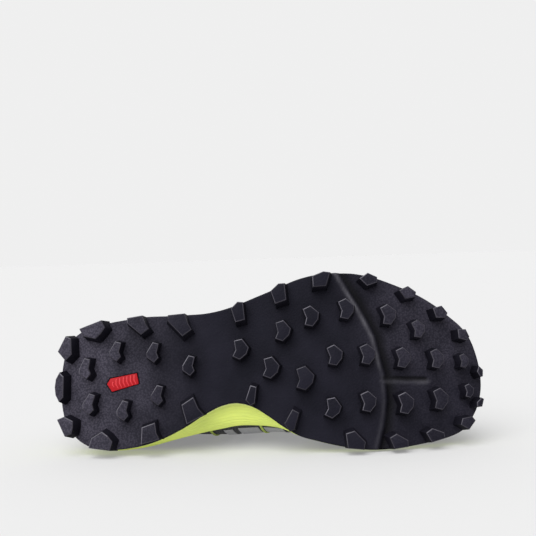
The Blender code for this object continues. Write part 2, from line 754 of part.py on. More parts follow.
def layer(name, inner, outer, start=0.0, end=1.0):
    """Skin between two offsets of the form, open underneath, over a share of its length."""
    first = math.floor(turn_of(start) / math.pi * FORM_STEPS)
    last = math.ceil(turn_of(end) / math.pi * FORM_STEPS)
    skin = form_solid(name, outer, 0.0, first, last)
    core = form_solid(name + "_core", inner, WALL * 3, max(first - 1, 0), min(last + 1, FORM_STEPS))
    return combine(skin, core, "DIFFERENCE")


def side_line(rows, heights=None):
    """Side view points of a line on the upper, smoothed between its rows."""
    keys = [row[0] for row in rows]
    values = [row[1] * row[2] for row in rows] if heights is None else [row[1] * heights for row in rows]
    points = []
    count = 3 * (len(rows) - 1)
    for i in range(count + 1):
        key = keys[0] + (keys[-1] - keys[0]) * i / count
        x = HEEL_SETBACK + key * UPPER_LENGTH
        base = footbed(min(max(x, 0), SOLE_LENGTH)) + GAP
        points.append((x, base + smooth(keys, values, key)))
    return points


def above_line(name, rows, heights=None):
    """Block over a line on the upper, across the whole shoe."""
    line = side_line(rows, heights)
    top = plate_top(0) + 3 * ANKLE_HEIGHT
    return side_prism(name, line + [(line[-1][0], top), (line[0][0], top)])


def below_line(name, rows, heights):
    """Block under a line on the upper, from which an overlay is taken."""
    line = side_line(rows, heights)
    low = -STUD_DEPTH
    return side_prism(name, line + [(line[-1][0], low), (line[0][0], low)])


def throat_half_width(x):
    """Half the opening between the two sides of the throat."""
    share = (x - THROAT_START) / (THROAT_END - THROAT_START)
    return (THROAT_TOP_WIDTH + (THROAT_END_WIDTH - THROAT_TOP_WIDTH) * min(max(share, 0), 1)) / 2


def throat_outline(margin, start):
    """Plan outline of the throat, grown by a margin, with a round end towards the toe."""
    steps = 6
    centre = THROAT_END - THROAT_END_WIDTH / 2
    radius = THROAT_END_WIDTH / 2 + margin
    side = [start + (centre - start) * i / steps for i in range(steps)]
    medial = [(x, THROAT_SHIFT + throat_half_width(x) + margin) for x in side]
    lateral = [(x, THROAT_SHIFT - throat_half_width(x) - margin) for x in reversed(side)]
    arc = []
    for i in range(9):
        angle = math.pi / 2 - math.pi * i / 8
        arc.append((centre + radius * math.cos(angle), THROAT_SHIFT + radius * math.sin(angle)))
    return medial + arc + lateral


def throat_cutter(name, margin=0.0, start=THROAT_START - 0.1 * SOLE_LENGTH):
    """Upright cutter for the throat."""
    low = footbed(THROAT_END) + 0.45 * INSTEP_HEIGHT
    return plan_prism(name, throat_outline(margin, start), low, 3 * ANKLE_HEIGHT)


def eyelet_stations():
    """Places of the eyelet pairs along the throat."""
    step = (EYELET_LAST - EYELET_FIRST) / (EYELET_PAIRS - 1)
    return [EYELET_FIRST + step * i for i in range(EYELET_PAIRS)]


def eyelet_place(x, side):
    """Plan place of an eyelet."""
    return Vector((x, THROAT_SHIFT + side * (throat_half_width(x) + EYELET_SETBACK)))


def eyelet_cutters():
    """Upright round cutters for all the eyelets, as one set."""
    shape = bmesh.new()
    for x in eyelet_stations():
        for side in (1, -1):
            place = eyelet_place(x, side)
            height = 2 * ANKLE_HEIGHT
            centre = Matrix.Translation((place.x, place.y, footbed(x) + 0.3 * INSTEP_HEIGHT + height / 2))
            bmesh.ops.create_cone(
                shape, segments=10, radius1=EYELET_RADIUS, radius2=EYELET_RADIUS, depth=height,
                cap_ends=True, matrix=centre,
            )
    return new_object("eyelet_cutters", shape)


def upper():
    """Hollow shell, open at the collar, the throat and underneath."""
    shell = layer("upper", -WALL, 0)
    combine(shell, above_line("collar_cutter", COLLAR_LINE), "DIFFERENCE")
    combine(shell, throat_cutter("throat"), "DIFFERENCE")
    combine(shell, eyelet_cutters(), "DIFFERENCE")
    return shell


def toe_cap():
    """Overlay round the toe."""
    cap = layer("toe_cap", GAP, GAP + OVERLAY, start=0.66)
    return combine(cap, below_line("toe_cap_block", TOE_CAP_LINE, INSTEP_HEIGHT), "INTERSECT")


def heel_counter():
    """Overlay round the heel."""
    counter = layer("heel_counter", GAP, GAP + OVERLAY, end=0.36)
    return combine(counter, below_line("counter_block", COUNTER_LINE, HEEL_HEIGHT), "INTERSECT")


def eyestay():
    """Overlay round the throat with the eyelets punched through."""
    stay = layer("eyestay", GAP, GAP + OVERLAY, 0.24, 0.80)
    outline = throat_outline(EYESTAY_WIDTH, THROAT_START - EYESTAY_REACH)
    low = footbed(THROAT_END) + 0.35 * INSTEP_HEIGHT
    combine(stay, plan_prism("eyestay_block", outline, low, 3 * ANKLE_HEIGHT), "INTERSECT")
    combine(stay, above_line("eyestay_side", EYESTAY_LINE, INSTEP_HEIGHT), "INTERSECT")
    combine(stay, above_line("eyestay_collar", COLLAR_LINE), "DIFFERENCE")
    combine(stay, throat_cutter("eyestay_throat", EYESTAY_SETBACK), "DIFFERENCE")
    combine(stay, eyelet_cutters(), "DIFFERENCE")
    return stay


def tongue():
    """Padded strip under the throat, rising in front of the ankle."""
    outside = -WALL - GAP
    strip = layer("tongue", outside - TONGUE, outside, 0.22, 0.86)
    half = TONGUE_WIDTH / 2
    end = THROAT_END + TONGUE_OVERLAP
    outline = [(TONGUE_START, half * 0.86), (TONGUE_START + 0.12 * (end - TONGUE_START), half), (end, half * 0.62)]
    outline = [(x, THROAT_SHIFT + y) for x, y in outline]
    outline += [(x, 2 * THROAT_SHIFT - y) for x, y in reversed(outline)]
    top = footbed(THROAT_START) + TONGUE_TOP
    low = footbed(THROAT_END) + 0.35 * INSTEP_HEIGHT
    combine(strip, plan_prism("tongue_block", outline, low, top), "INTERSECT")
    return combine(strip, above_line("tongue_side", TONGUE_LINE, INSTEP_HEIGHT), "INTERSECT")


def lace_bar(name, start, end):
    """Upright block over one run of lace."""
    along = (end - start).normalized()
    across = Vector((-along.y, along.x)) * LACE_WIDTH / 2
    reach = along * LACE_WIDTH * 0.55
    corners = (start - reach + across, end + reach + across, end + reach - across, start - reach - across)
    low = footbed(THROAT_END) + 0.35 * INSTEP_HEIGHT
    return plan_prism(name, [(p.x, p.y) for p in corners], low, 3 * ANKLE_HEIGHT)


def laces():
    """Crossings over the tongue, joined where they meet, stopping at the top eyelets."""
    stations = eyelet_stations()
    bars = [lace_bar("lace_bar", eyelet_place(stations[-1], 1), eyelet_place(stations[-1], -1))]
    for near, far in zip(stations, stations[1:]):
        for side in (1, -1):
            bars.append(lace_bar("lace_cross", eyelet_place(near, side), eyelet_place(far, -side)))
    lattice = join("lattice", bars)
    inside = 2 * GAP + OVERLAY
    cord = layer("laces", inside, inside + LACE, 0.30, 0.80)
    return combine(cord, lattice, "INTERSECT")


# Laying the shoe down

def mass_and_centre(shapes):
    """Mass and centre of mass of all the pieces."""
    mass = 0.0
    moment = Vector((0, 0, 0))
    for shape in shapes:
        density = FINISHES[shape.name][2]
        shape.data.calc_loop_triangles()
        points = shape.data.vertices
        for triangle in shape.data.loop_triangles:
            a, b, c = (points[i].co for i in triangle.vertices)
            part = a.dot(b.cross(c)) / 6 * density
            mass += part
            moment += (a + b + c) / 4 * part
    return mass, moment / mass


def resting_direction(shapes, centre):
    """Outward direction of the medial hull face that the shoe's weight stands on."""
    hull = bmesh.new()
    for shape in shapes:
        for vert in shape.data.vertices:
            hull.verts.new(vert.co)
    bmesh.ops.convex_hull(hull, input=hull.verts)
    bmesh.ops.triangulate(hull, faces=hull.faces)
    best = None
    for face in hull.faces:
        a, b, c = (vert.co for vert in face.verts)
        normal = (b - a).cross(c - a).normalized()
        if normal.dot(a - centre) < 0:
            normal = -normal
        foot = centre + normal * normal.dot(a - centre)
        if intersect_point_tri(foot, a, b, c) and (best is None or normal.y > best.y):
            best = normal
    hull.free()
    return best


def flatten(shape, height):
    """Cut off what lies below a height and close the cut."""
    if min(vert.co.z for vert in shape.data.vertices) >= height:
        return
    work = bmesh.new()
    work.from_mesh(shape.data)
    geometry = work.verts[:] + work.edges[:] + work.faces[:]
    bmesh.ops.bisect_plane(
        work, geom=geometry, dist=0.001 * MM, plane_co=(0, 0, height), plane_no=(0, 0, -1), clear_outer=True,
    )
    rim = [edge for edge in work.edges if edge.is_boundary]
    bmesh.ops.triangle_fill(work, edges=rim, use_beauty=True, normal=(0, 0, -1))
    bmesh.ops.recalc_face_normals(work, faces=work.faces)
    work.to_mesh(shape.data)
    work.free()


def lay_down(shapes):
    """Roll the shoe on to its medial side and put the floor under it."""
    centre = mass_and_centre(shapes)[1]
    quarter = Matrix.Rotation(-math.pi / 2, 4, "X")
    down = quarter.to_3x3() @ resting_direction(shapes, centre)
    settle = down.rotation_difference(Vector((0, 0, -1))).to_matrix().to_4x4()
    for shape in shapes:
        shape.data.transform(settle @ quarter)
    lowest = min(vert.co.z for shape in shapes for vert in shape.data.vertices)
    for shape in shapes:
        flatten(shape, lowest + FLOOR_FLAT)
    corners = [vert.co for shape in shapes for vert in shape.data.vertices]
    middle_x = (min(p.x for p in corners) + max(p.x for p in corners)) / 2
    middle_y = (min(p.y for p in corners) + max(p.y for p in corners)) / 2
    shift = Matrix.Translation((-middle_x, -middle_y, -lowest - FLOOR_FLAT))
    for shape in shapes:
        shape.data.transform(shift)


def finish(shape):
    """Give a piece its material and shade its round faces smooth."""
    colour, roughness, _ = FINISHES[shape.name]
    material = bpy.data.materials.new(shape.name)
    material.use_nodes = True
    surface = material.node_tree.nodes["Principled BSDF"]
    surface.inputs["Base Color"].default_value = (*colour, 1)
    surface.inputs["Roughness"].default_value = roughness
    surface.inputs["Metallic"].default_value = 0
    shape.data.materials.clear()
    shape.data.materials.append(material)
    shape.data.name = shape.name
    shape.data.shade_smooth()
    shape.data.set_sharp_from_angle(angle=math.radians(35))


def main():
    """Build every piece, lay the shoe down and finish it."""
    for old in list(bpy.data.objects):
        bpy.data.objects.remove(old, do_unlink=True)
    makers = (
        outsole, badge, midsole, insole, upper, toe_cap, heel_counter, eyestay, tongue, laces,
    )
    shapes = [make() for make in makers]
    for shape in shapes:
        tidy(shape)
    lay_down(shapes)
    for shape in shapes:
        finish(shape)


main()
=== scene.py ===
"""Looks of the trail running shoe that lies on its medial side.

The pieces are modelled standing, as the solids are: x runs from heel to toe, y towards the medial
side and z up from the ground under the studs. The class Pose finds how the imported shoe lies, and
every mesh is turned into that place when it is finished.
"""

import logging
import math
from dataclasses import dataclass
from enum import Enum
from functools import lru_cache
from typing import Callable, Sequence

import bmesh
import bpy
import numpy as np
from mathutils import Matrix, Vector
from mathutils.kdtree import KDTree


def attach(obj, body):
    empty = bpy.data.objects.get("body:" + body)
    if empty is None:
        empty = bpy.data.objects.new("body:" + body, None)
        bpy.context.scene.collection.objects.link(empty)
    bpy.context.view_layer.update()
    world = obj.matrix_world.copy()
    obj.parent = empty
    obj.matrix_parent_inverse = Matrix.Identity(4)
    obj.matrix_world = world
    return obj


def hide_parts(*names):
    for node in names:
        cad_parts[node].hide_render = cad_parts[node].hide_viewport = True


MM = 0.001
BODY = "root"
LOG = logging.getLogger("shoe")

# Sizes that the solids are made from
SOLE_LENGTH = 287 * MM
BALL_WIDTH = 116 * MM
GAP = 0.3 * MM
STUD_DEPTH = 8.5 * MM
PLATE = 3 * MM
TOE_SPRING = 24 * MM
HEEL_BEVEL = 9 * MM
ARCH_RISE = 2 * MM
SPRING_START = 0.66
BEVEL_END = 0.22
ARCH_START = 0.24
ARCH_END = 0.60
GROOVE_DEPTH = 1.2 * MM
BADGE_LENGTH = 22 * MM
BADGE_WIDTH = 12.6 * MM
BADGE_THICKNESS = 1.5 * MM
BADGE_RECESS = 1.6 * MM
BADGE_MARGIN = 1.1 * MM
HEEL_FOAM = 19 * MM
BALL_FOAM = 10.5 * MM
TOE_FOAM = 7 * MM
FOAM_BULGE = 1.2 * MM
SETBACK = 6 * MM
INSTEP_HEIGHT = 80 * MM
HEEL_HEIGHT = 80 * MM
ANKLE_DIP = 57 * MM
THROAT_HEIGHT = 88 * MM
HEEL_CURVE = 8 * MM
BULGE_HEIGHT = 52 * MM
WALL = 2 * MM
OVERLAY = 1.2 * MM
INSOLE = 4.5 * MM
THROAT_START = 0.400 * SOLE_LENGTH
THROAT_END = 0.678 * SOLE_LENGTH
THROAT_TOP_WIDTH = 38 * MM
THROAT_END_WIDTH = 20 * MM
THROAT_SHIFT = 4 * MM
EYESTAY_WIDTH = 15 * MM
EYESTAY_REACH = 0.071 * SOLE_LENGTH
EYELET_SETBACK = 7 * MM
EYELET_PAIRS = 6
EYELET_FIRST = 0.436 * SOLE_LENGTH
EYELET_LAST = 0.646 * SOLE_LENGTH
TONGUE_WIDTH = 62 * MM
TONGUE_START = 0.343 * SOLE_LENGTH
TONGUE_OVERLAP = 13 * MM
LACE_WIDTH = 5.5 * MM
UPPER_LENGTH = SOLE_LENGTH - 2 * SETBACK

# Seats of what lies on the upper
FOOT_SHARE = 0.004
FILM_LIFT = GAP + OVERLAY
FLOOR_CLEARANCE = 0.02 * MM
WELD = 0.02 * MM

# Plan outline: station as a share of the length, then shares of the ball width
SOLE_COLUMNS = ("station", "medial", "lateral", "flare")
SOLE_ROWS = (
    (0.000, 0.078, -0.078, 0.000), (0.010, 0.258, 0.124, 0.000), (0.032, 0.352, 0.216, 0.000),
    (0.082, 0.430, 0.276, 0.003), (0.160, 0.438, 0.314, 0.006), (0.210, 0.415, 0.330, 0.010),
    (0.270, 0.357, 0.335, 0.030), (0.310, 0.302, 0.341, 0.060), (0.350, 0.237, 0.349, 0.102),
    (0.385, 0.192, 0.367, 0.130), (0.420, 0.173, 0.395, 0.132), (0.460, 0.194, 0.435, 0.108),
    (0.500, 0.252, 0.475, 0.056), (0.530, 0.305, 0.507, 0.016), (0.570, 0.361, 0.545, 0.000),
    (0.610, 0.389, 0.568, 0.000), (0.660, 0.417, 0.578, 0.000), (0.720, 0.438, 0.563, 0.000),
    (0.800, 0.429, 0.502, 0.000), (0.850, 0.408, 0.450, 0.000), (0.890, 0.386, 0.394, 0.000),
    (0.920, 0.366, 0.340, 0.000), (0.955, 0.322, 0.270, 0.000), (0.975, 0.262, 0.204, 0.000),
    (0.990, 0.192, 0.108, 0.000), (1.000, 0.057, -0.057, 0.000),
)

# Side wall of the foam: share of its height, share of the flare and swell as a share of its bulge
FOAM_LEVELS = (
    (0.00, 0.00, -1.1), (0.12, 0.10, -0.6), (0.42, 0.62, -0.1), (0.80, 0.98, -0.2), (1.00, 1.00, -0.9),
)

# Cross sections of the upper, as the solids have them
FORM_COLUMNS = (
    "station", "medial", "lateral", "medial_bulge", "lateral_bulge", "height", "shift", "square", "taper",
)
FORM_ROWS = (
    (0.000, 0.068, -0.068, 0.000, 0.000, 1.50, 0.05, 3.0, 0.28),
    (0.020, 0.230, 0.094, 0.008, 0.008, 1.51, 0.05, 3.0, 0.28),
    (0.060, 0.322, 0.186, 0.014, 0.014, 1.52, 0.05, 3.0, 0.28),
    (0.120, 0.370, 0.238, 0.020, 0.016, 1.525, 0.05, 3.0, 0.28),
    (0.200, 0.356, 0.258, 0.024, 0.016, 1.525, 0.04, 3.0, 0.28),
    (0.300, 0.306, 0.272, 0.054, 0.018, 1.50, 0.03, 2.9, 0.26),
    (0.360, 0.286, 0.292, 0.074, 0.018, 1.42, 0.03, 2.7, 0.22),
    (0.420, 0.280, 0.324, 0.076, 0.018, 1.24, 0.03, 2.4, 0.16),
    (0.500, 0.290, 0.396, 0.056, 0.016, 1.00, 0.04, 2.1, 0.08),
    (0.600, 0.344, 0.478, 0.026, 0.014, 0.815, 0.05, 2.0, 0.03),
    (0.680, 0.370, 0.502, 0.020, 0.014, 0.700, 0.05, 2.0, 0.00),
    (0.760, 0.384, 0.476, 0.018, 0.014, 0.605, 0.06, 2.1, 0.00),
    (0.840, 0.372, 0.408, 0.016, 0.014, 0.520, 0.06, 2.2, 0.00),
    (0.910, 0.330, 0.306, 0.014, 0.012, 0.440, 0.06, 2.3, 0.00),
    (0.960, 0.262, 0.208, 0.010, 0.010, 0.355, 0.06, 2.4, 0.00),
    (0.985, 0.186, 0.098, 0.006, 0.006, 0.270, 0.06, 2.4, 0.00),
    (1.000, 0.058, -0.058, 0.000, 0.000, 0.150, 0.05, 2.4, 0.00),
)

# Lines on the upper in side view: share of its length, height above the foam
COLLAR_LINE = (
    (-0.040, HEEL_HEIGHT * 1.00), (0.030, HEEL_HEIGHT * 1.00), (0.070, HEEL_HEIGHT * 0.96),
    (0.130, ANKLE_DIP * 1.16), (0.190, ANKLE_DIP * 1.02), (0.240, ANKLE_DIP * 1.00),
    (0.300, ANKLE_DIP * 1.08), (0.360, THROAT_HEIGHT * 0.84), (0.410, THROAT_HEIGHT * 1.00),
    (0.470, THROAT_HEIGHT * 1.14), (0.520, THROAT_HEIGHT * 1.60),
)
TOE_CAP_LINE = (
    (0.700, -0.20), (0.735, 0.10), (0.790, 0.19), (0.850, 0.25), (0.905, 0.33), (0.945, 0.46), (1.100, 0.60),
)
EYESTAY_LINE = (
    (0.270, 0.72), (0.330, 0.74), (0.400, 0.73), (0.480, 0.66), (0.560, 0.55), (0.640, 0.44), (0.760, 0.30),
)
TONGUE_LINE = (
    (0.260, 1.16), (0.330, 1.06), (0.400, 0.90), (0.480, 0.70), (0.560, 0.54), (0.640, 0.43), (0.800, 0.30),
)
COUNTER_LINE = (
    (-0.060, 0.78), (0.040, 0.78), (0.090, 0.70), (0.150, 0.50), (0.220, 0.26), (0.290, 0.10), (0.330, -0.20),
)

# Soft creases of the upper: side (0 both), station, lean towards the toe, width, depth, then how far
# up the side it starts and ends as shares of the way from the sole to the ridge
CREASES = (
    (0, 0.672, 12 * MM, 4.5 * MM, -0.9 * MM, 0.42, 1.10),
    (0, 0.695, 14 * MM, 4.0 * MM, 0.4 * MM, 0.46, 1.10),
    (0, 0.718, 17 * MM, 4.5 * MM, -0.8 * MM, 0.40, 1.10),
    (0, 0.748, 20 * MM, 4.0 * MM, -0.4 * MM, 0.50, 1.10),
    (1, 0.250, -22 * MM, 6.0 * MM, -1.0 * MM, 0.16, 0.42),
    (-1, 0.262, -24 * MM, 6.0 * MM, -0.9 * MM, 0.16, 0.42),
    (1, 0.330, -26 * MM, 7.0 * MM, -0.8 * MM, 0.18, 0.50),
    (-1, 0.345, -26 * MM, 7.0 * MM, -0.9 * MM, 0.18, 0.52),
    (1, 0.520, 20 * MM, 9.0 * MM, -0.6 * MM, 0.10, 0.50),
    (-1, 0.500, 22 * MM, 9.0 * MM, -0.6 * MM, 0.10, 0.50),
)

# Grey film panels on the upper's sides: station at the bottom, length, lean, then the shares of the
# way from the sole to the ridge where each starts and ends
PANELS = (
    (0.376, 0.024, 0.052, 0.06, 0.47),
    (0.414, 0.052, 0.055, 0.05, 0.54),
    (0.480, 0.050, 0.048, 0.05, 0.60),
    (0.545, 0.034, 0.040, 0.05, 0.60),
    (0.594, 0.020, 0.034, 0.05, 0.54),
)

# Lime cords between the panels: station at the bottom, lean and top
CORDS = ((0.336, 0.046, 0.48), (0.469, 0.052, 0.66), (0.585, 0.040, 0.66))

# Padded collar in section: height above the collar's edge, distance inwards from the upper's outside
COLLAR_PROFILE = (
    (0.2 * MM, 0.3 * MM), (1.2 * MM, 1.1 * MM), (1.6 * MM, 2.6 * MM), (1.2 * MM, 4.6 * MM),
    (-1.2 * MM, 6.6 * MM), (-6.0 * MM, 7.8 * MM), (-13.0 * MM, 7.4 * MM), (-22.0 * MM, 5.6 * MM),
    (-31.0 * MM, 3.6 * MM), (-37.0 * MM, 2.5 * MM), (-36.0 * MM, 2.2 * MM), (-20.0 * MM, 2.2 * MM),
    (-2.0 * MM, 2.2 * MM), (0.0 * MM, 1.8 * MM), (0.2 * MM, 0.3 * MM),
)

# Flex grooves and badge, in plan
MAIN_GROOVE = (
    (0.655, -0.60), (0.684, -0.476), (0.703, -0.400), (0.728, -0.290), (0.744, -0.210),
    (0.757, -0.078), (0.768, 0.020), (0.772, 0.162), (0.765, 0.305), (0.748, 0.47),
)
BRANCH_GROOVE = ((0.768, 0.030), (0.815, 0.032), (0.862, 0.034))
BADGE_SHAPE = ((-0.49, 0.09), (-0.38, -0.21), (0.43, -0.50), (0.50, 0.08), (-0.33, 0.50))
BADGE_PLACE = (0.1555, 0.052)

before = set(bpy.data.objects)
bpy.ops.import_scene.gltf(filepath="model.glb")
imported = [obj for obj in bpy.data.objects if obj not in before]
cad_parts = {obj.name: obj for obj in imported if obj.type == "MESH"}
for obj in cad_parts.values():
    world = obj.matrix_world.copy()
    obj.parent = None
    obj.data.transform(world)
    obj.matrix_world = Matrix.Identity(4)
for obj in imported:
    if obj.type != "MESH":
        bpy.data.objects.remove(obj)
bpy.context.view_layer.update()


class Side(Enum):
    """Side of the shoe, as the sign of its distance from the foot's axis."""

    MEDIAL = 1
    LATERAL = -1


# Curves through the tables

class Curve:
    """Smooth curve through keys and values."""

    def __init__(self, keys: Sequence[float], values: Sequence[float]) -> None:
        """Work out the slope at each key.

        Args:
            keys: Rising keys.
            values: A value for each key.
        """
        self.keys = list(keys)
        self.values = list(values)
        steps = np.diff(self.keys)
        rates = np.diff(self.values) / steps
        inner = (rates[:-1] * steps[1:] + rates[1:] * steps[:-1]) / (steps[:-1] + steps[1:])
        self.tangents = [float(rates[0]), *map(float, inner), float(rates[-1])]

    def __call__(self, key: float) -> float:
        """Value of the curve at a key."""
        index = 0
        while index < len(self.keys) - 2 and key > self.keys[index + 1]:
            index += 1
        step = self.keys[index + 1] - self.keys[index]
        t = (key - self.keys[index]) / step
        back = 1 - t
        start = (1 + 2 * t) * back ** 2 * self.values[index] + t * back ** 2 * step * self.tangents[index]
        end = (3 - 2 * t) * t ** 2 * self.values[index + 1] - back * t ** 2 * step * self.tangents[index + 1]
        return start + end


def turn_of(station: float) -> float:
    """Angle that spaces the stations closely at heel and toe."""
    return math.acos(1 - 2 * min(max(station, 0), 1))


def turn_at(x: float) -> float:
    """Turn of the upper's column at a distance from the back of the sole."""
    return turn_of((x - SETBACK) / UPPER_LENGTH)


def curves(columns: Sequence[str], rows: Sequence[Sequence[float]]) -> dict[str, Curve]:
    """Curve of each column of a table over the turn of its stations.

    Args:
        columns: The columns' names, the first of them the station.
        rows: The table's rows.

    Returns:
        The curves by column name.
    """
    turns = [turn_of(row[0]) for row in rows]
    return {name: Curve(turns, [row[i] for row in rows]) for i, name in enumerate(columns) if i > 0}


def ease(value: float) -> float:
    """Smooth step from 0 to 1."""
    t = min(max(value, 0), 1)
    return t * t * (3 - 2 * t)


def dip(value: float) -> float:
    """Smooth hump of height 1 at 0 that fades away past 1."""
    return math.exp(-value * value)


def spread(first: float, last: float, count: int) -> list[float]:
    """Even values from the first to the last, with as many steps as the count."""
    return [first + (last - first) * i / count for i in range(count + 1)]


def crowd(end: float, count: int) -> list[float]:
    """Turns that lie ever closer before an end, where a round line climbs quickly."""
    return [end - 0.0012 * i ** 1.7 for i in range(1, count)]


def bent(value: float, power: float) -> float:
    """Value whose size is raised to a power, its sign kept."""
    return math.copysign(abs(value) ** power, value)


def oval(share: float, across: float, through: float) -> tuple[float, float]:
    """Point of a round section at a share of the way round, squarer where a power is small."""
    angle = 2 * math.pi * share
    return bent(math.cos(angle), across), bent(math.sin(angle), through)


# The shoe's form

@dataclass(frozen=True)
class Section:
    """Values of one cross section of the upper."""

    x: float
    middle: float
    half: float
    height: float
    ridge: float
    square: float
    taper: float
    medial_bulge: float
    lateral_bulge: float


class Last:
    """Heights, outlines and sections that all the pieces share."""

    def __init__(self) -> None:
        """Make the curves of the sole, the upper and the lines on it."""
        self.sole = curves(SOLE_COLUMNS, SOLE_ROWS)
        self.form = curves(FORM_COLUMNS, FORM_ROWS)
        self.foam_flare = Curve([row[0] for row in FOAM_LEVELS], [row[1] for row in FOAM_LEVELS])
        self.foam_swell = Curve([row[0] for row in FOAM_LEVELS], [row[2] for row in FOAM_LEVELS])
        self.collar = Curve(*zip(*COLLAR_LINE))
        self.toe_cap = self.scaled(TOE_CAP_LINE, INSTEP_HEIGHT)
        self.eyestay = self.scaled(EYESTAY_LINE, INSTEP_HEIGHT)
        self.tongue = self.scaled(TONGUE_LINE, INSTEP_HEIGHT)
        self.counter = self.scaled(COUNTER_LINE, HEEL_HEIGHT)
        self.kept: dict[float, Section] = {}

    @staticmethod
    def scaled(rows: Sequence[tuple[float, float]], height: float) -> Curve:
        """Curve of a line whose heights are shares of one height."""
        return Curve([row[0] for row in rows], [row[1] * height for row in rows])

    def plate_bottom(self, x: float) -> float:
        """Height of the outsole's face between the studs."""
        s = x / SOLE_LENGTH
        toe = max(0, (s - SPRING_START) / (1 - SPRING_START))
        heel = max(0, (BEVEL_END - s) / BEVEL_END)
        arch = math.sin(math.pi * min(max((s - ARCH_START) / (ARCH_END - ARCH_START), 0), 1)) ** 2
        return STUD_DEPTH + TOE_SPRING * toe ** 1.9 + HEEL_BEVEL * heel ** 2 + ARCH_RISE * arch

    def foam_height(self, x: float) -> float:
        """Thickness of the midsole."""
        s = x / SOLE_LENGTH
        ball = HEEL_FOAM + (BALL_FOAM - HEEL_FOAM) * ease((s - 0.18) / 0.50)
        return ball + (TOE_FOAM - BALL_FOAM) * ease((s - 0.80) / 0.20)

    def footbed(self, x: float) -> float:
        """Height of the midsole's upper face."""
        return self.plate_bottom(x) + PLATE + GAP + self.foam_height(x)

    def edge(self, turn: float, side: Side, flare: float = 0.0) -> Vector:
        """Plan point of the sole's edge."""
        name = "medial" if side is Side.MEDIAL else "lateral"
        width = self.sole[name](turn)
        if side is Side.MEDIAL:
            width += self.sole["flare"](turn) * flare
        return Vector((SOLE_LENGTH * (1 - math.cos(turn)) / 2, side.value * width * BALL_WIDTH))

    def section(self, turn: float) -> Section:
        """Cross section of the upper at a turn."""
        if turn not in self.kept:
            value = {name: curve(turn) for name, curve in self.form.items()}
            self.kept[turn] = Section(
                x=UPPER_LENGTH * (1 - math.cos(turn)) / 2,
                middle=(value["medial"] - value["lateral"]) / 2 * BALL_WIDTH,
                half=(value["medial"] + value["lateral"]) / 2 * BALL_WIDTH,
                height=value["height"] * INSTEP_HEIGHT,
                ridge=value["shift"] * BALL_WIDTH,
                square=value["square"],
                taper=value["taper"],
                medial_bulge=value["medial_bulge"] * BALL_WIDTH,
                lateral_bulge=value["lateral_bulge"] * BALL_WIDTH,
            )
        return self.kept[turn]

    def heel_curve(self, x: float, height: float) -> float:
        """How far the back of the heel lies forward at a height above the footbed."""
        fullest = 0.32 * HEEL_HEIGHT
        above = max(0, height - fullest) / (HEEL_HEIGHT - fullest)
        below = max(0, fullest - height) / fullest
        fade = max(0, 1 - x / (0.3 * UPPER_LENGTH)) ** 2
        return (HEEL_CURVE * above ** 2 + 0.35 * HEEL_CURVE * below ** 2) * fade

    def surface(self, turn: float, over: float) -> Vector:
        """Point of the upper's form.

        Args:
            turn: Place along the shoe, 0 at the heel and pi at the toe.
            over: 0 at the medial edge, 1 on the ridge and 2 at the lateral edge.

        Returns:
            The point.
        """
        if turn < 0 or turn > math.pi:
            turn = abs(turn) if turn < 0 else 2 * math.pi - turn
            over = 2 - over
        part = self.section(turn)
        side = 1 if over <= 1 else -1
        share = min(math.sin(math.pi / 2 * min(max(over, 0), 2)), 1.0)
        level = share * part.height
        reach = max(0, 1 - share ** part.square) ** (1 / part.square) * (1 - part.taper * share ** 1.5)
        bulge = part.medial_bulge if side > 0 else part.lateral_bulge
        swell = bulge * math.sin(math.pi * min(level / BULGE_HEIGHT, 1))
        lean = (part.ridge - part.middle) * share ** 2
        y = part.middle + lean + side * (part.half * reach + swell * min(1, reach * 3))
        x = part.x + SETBACK + self.heel_curve(part.x, level)
        return Vector((x, y, self.footbed(x) + GAP + level))

    def lifted(self, turn: float, over: float, offset: float) -> Vector:
        """Point at a distance outwards from the upper's form."""
        step = 0.012
        over = min(max(over, 0.004), 1.996)
        along = self.surface(turn + step, over) - self.surface(turn - step, over)
        across = self.surface(turn, min(over + step, 2)) - self.surface(turn, max(over - step, 0))
        outward = across.cross(along).normalized()
        return self.surface(turn, over) + outward * offset

    @staticmethod
    def relief(point: Vector, over: float) -> float:
        """Height of the soft creases at a point of the form."""
        side = 1 if over <= 1 else -1
        share = min(over, 2 - over)
        total = 0.0
        for where, station, lean, width, depth, low, high in CREASES:
            if where in (0, side):
                centre = SETBACK + station * UPPER_LENGTH + lean * (share - low)
                fade = ease((share - low) / 0.12) * ease((high - share) / 0.12)
                total += depth * fade * dip((point.x - centre) / width)
        return total

    def skin(self, turn: float, over: float, offset: float) -> Vector:
        """Point at a distance outwards from the creased upper."""
        return self.lifted(turn, over, offset + self.relief(self.surface(turn, over), over))

    def around(self, way: float, share: float, offset: float) -> Vector:
        """Point of the creased upper by its way round from the heel, medial side first.

        Args:
            way: Turn, positive on the medial side and negative on the lateral side.
            share: Share of the way from the sole to the ridge.
            offset: Distance outwards.

        Returns:
            The point.
        """
        return self.skin(abs(way), share if way >= 0 else 2 - share, offset)

    def over_plan(self, x: float, y: float) -> tuple[float, float]:
        """Turn and place over the form of a point in plan, high on the shoe."""
        turn = turn_at(x)
        low, high = 0.0, 2.0
        for _ in range(24):
            middle = (low + high) / 2
            if self.surface(turn, middle).y > y:
                low = middle
            else:
                high = middle
        return turn, (low + high) / 2

    def rise_of(self, turn: float, share: float) -> float:
        """Height gained per unit of share at a place on the upper."""
        return self.section(turn).height * math.pi / 2 * math.cos(math.pi / 2 * min(share, 0.9))

    def line_height(self, line: Curve, x: float) -> float:
        """Height above the footbed of a line in side view."""
        return line((x - SETBACK) / UPPER_LENGTH)

    def level(self, point: Vector) -> float:
        """Height of a point above the midsole."""
        return point.z - self.footbed(point.x) - GAP

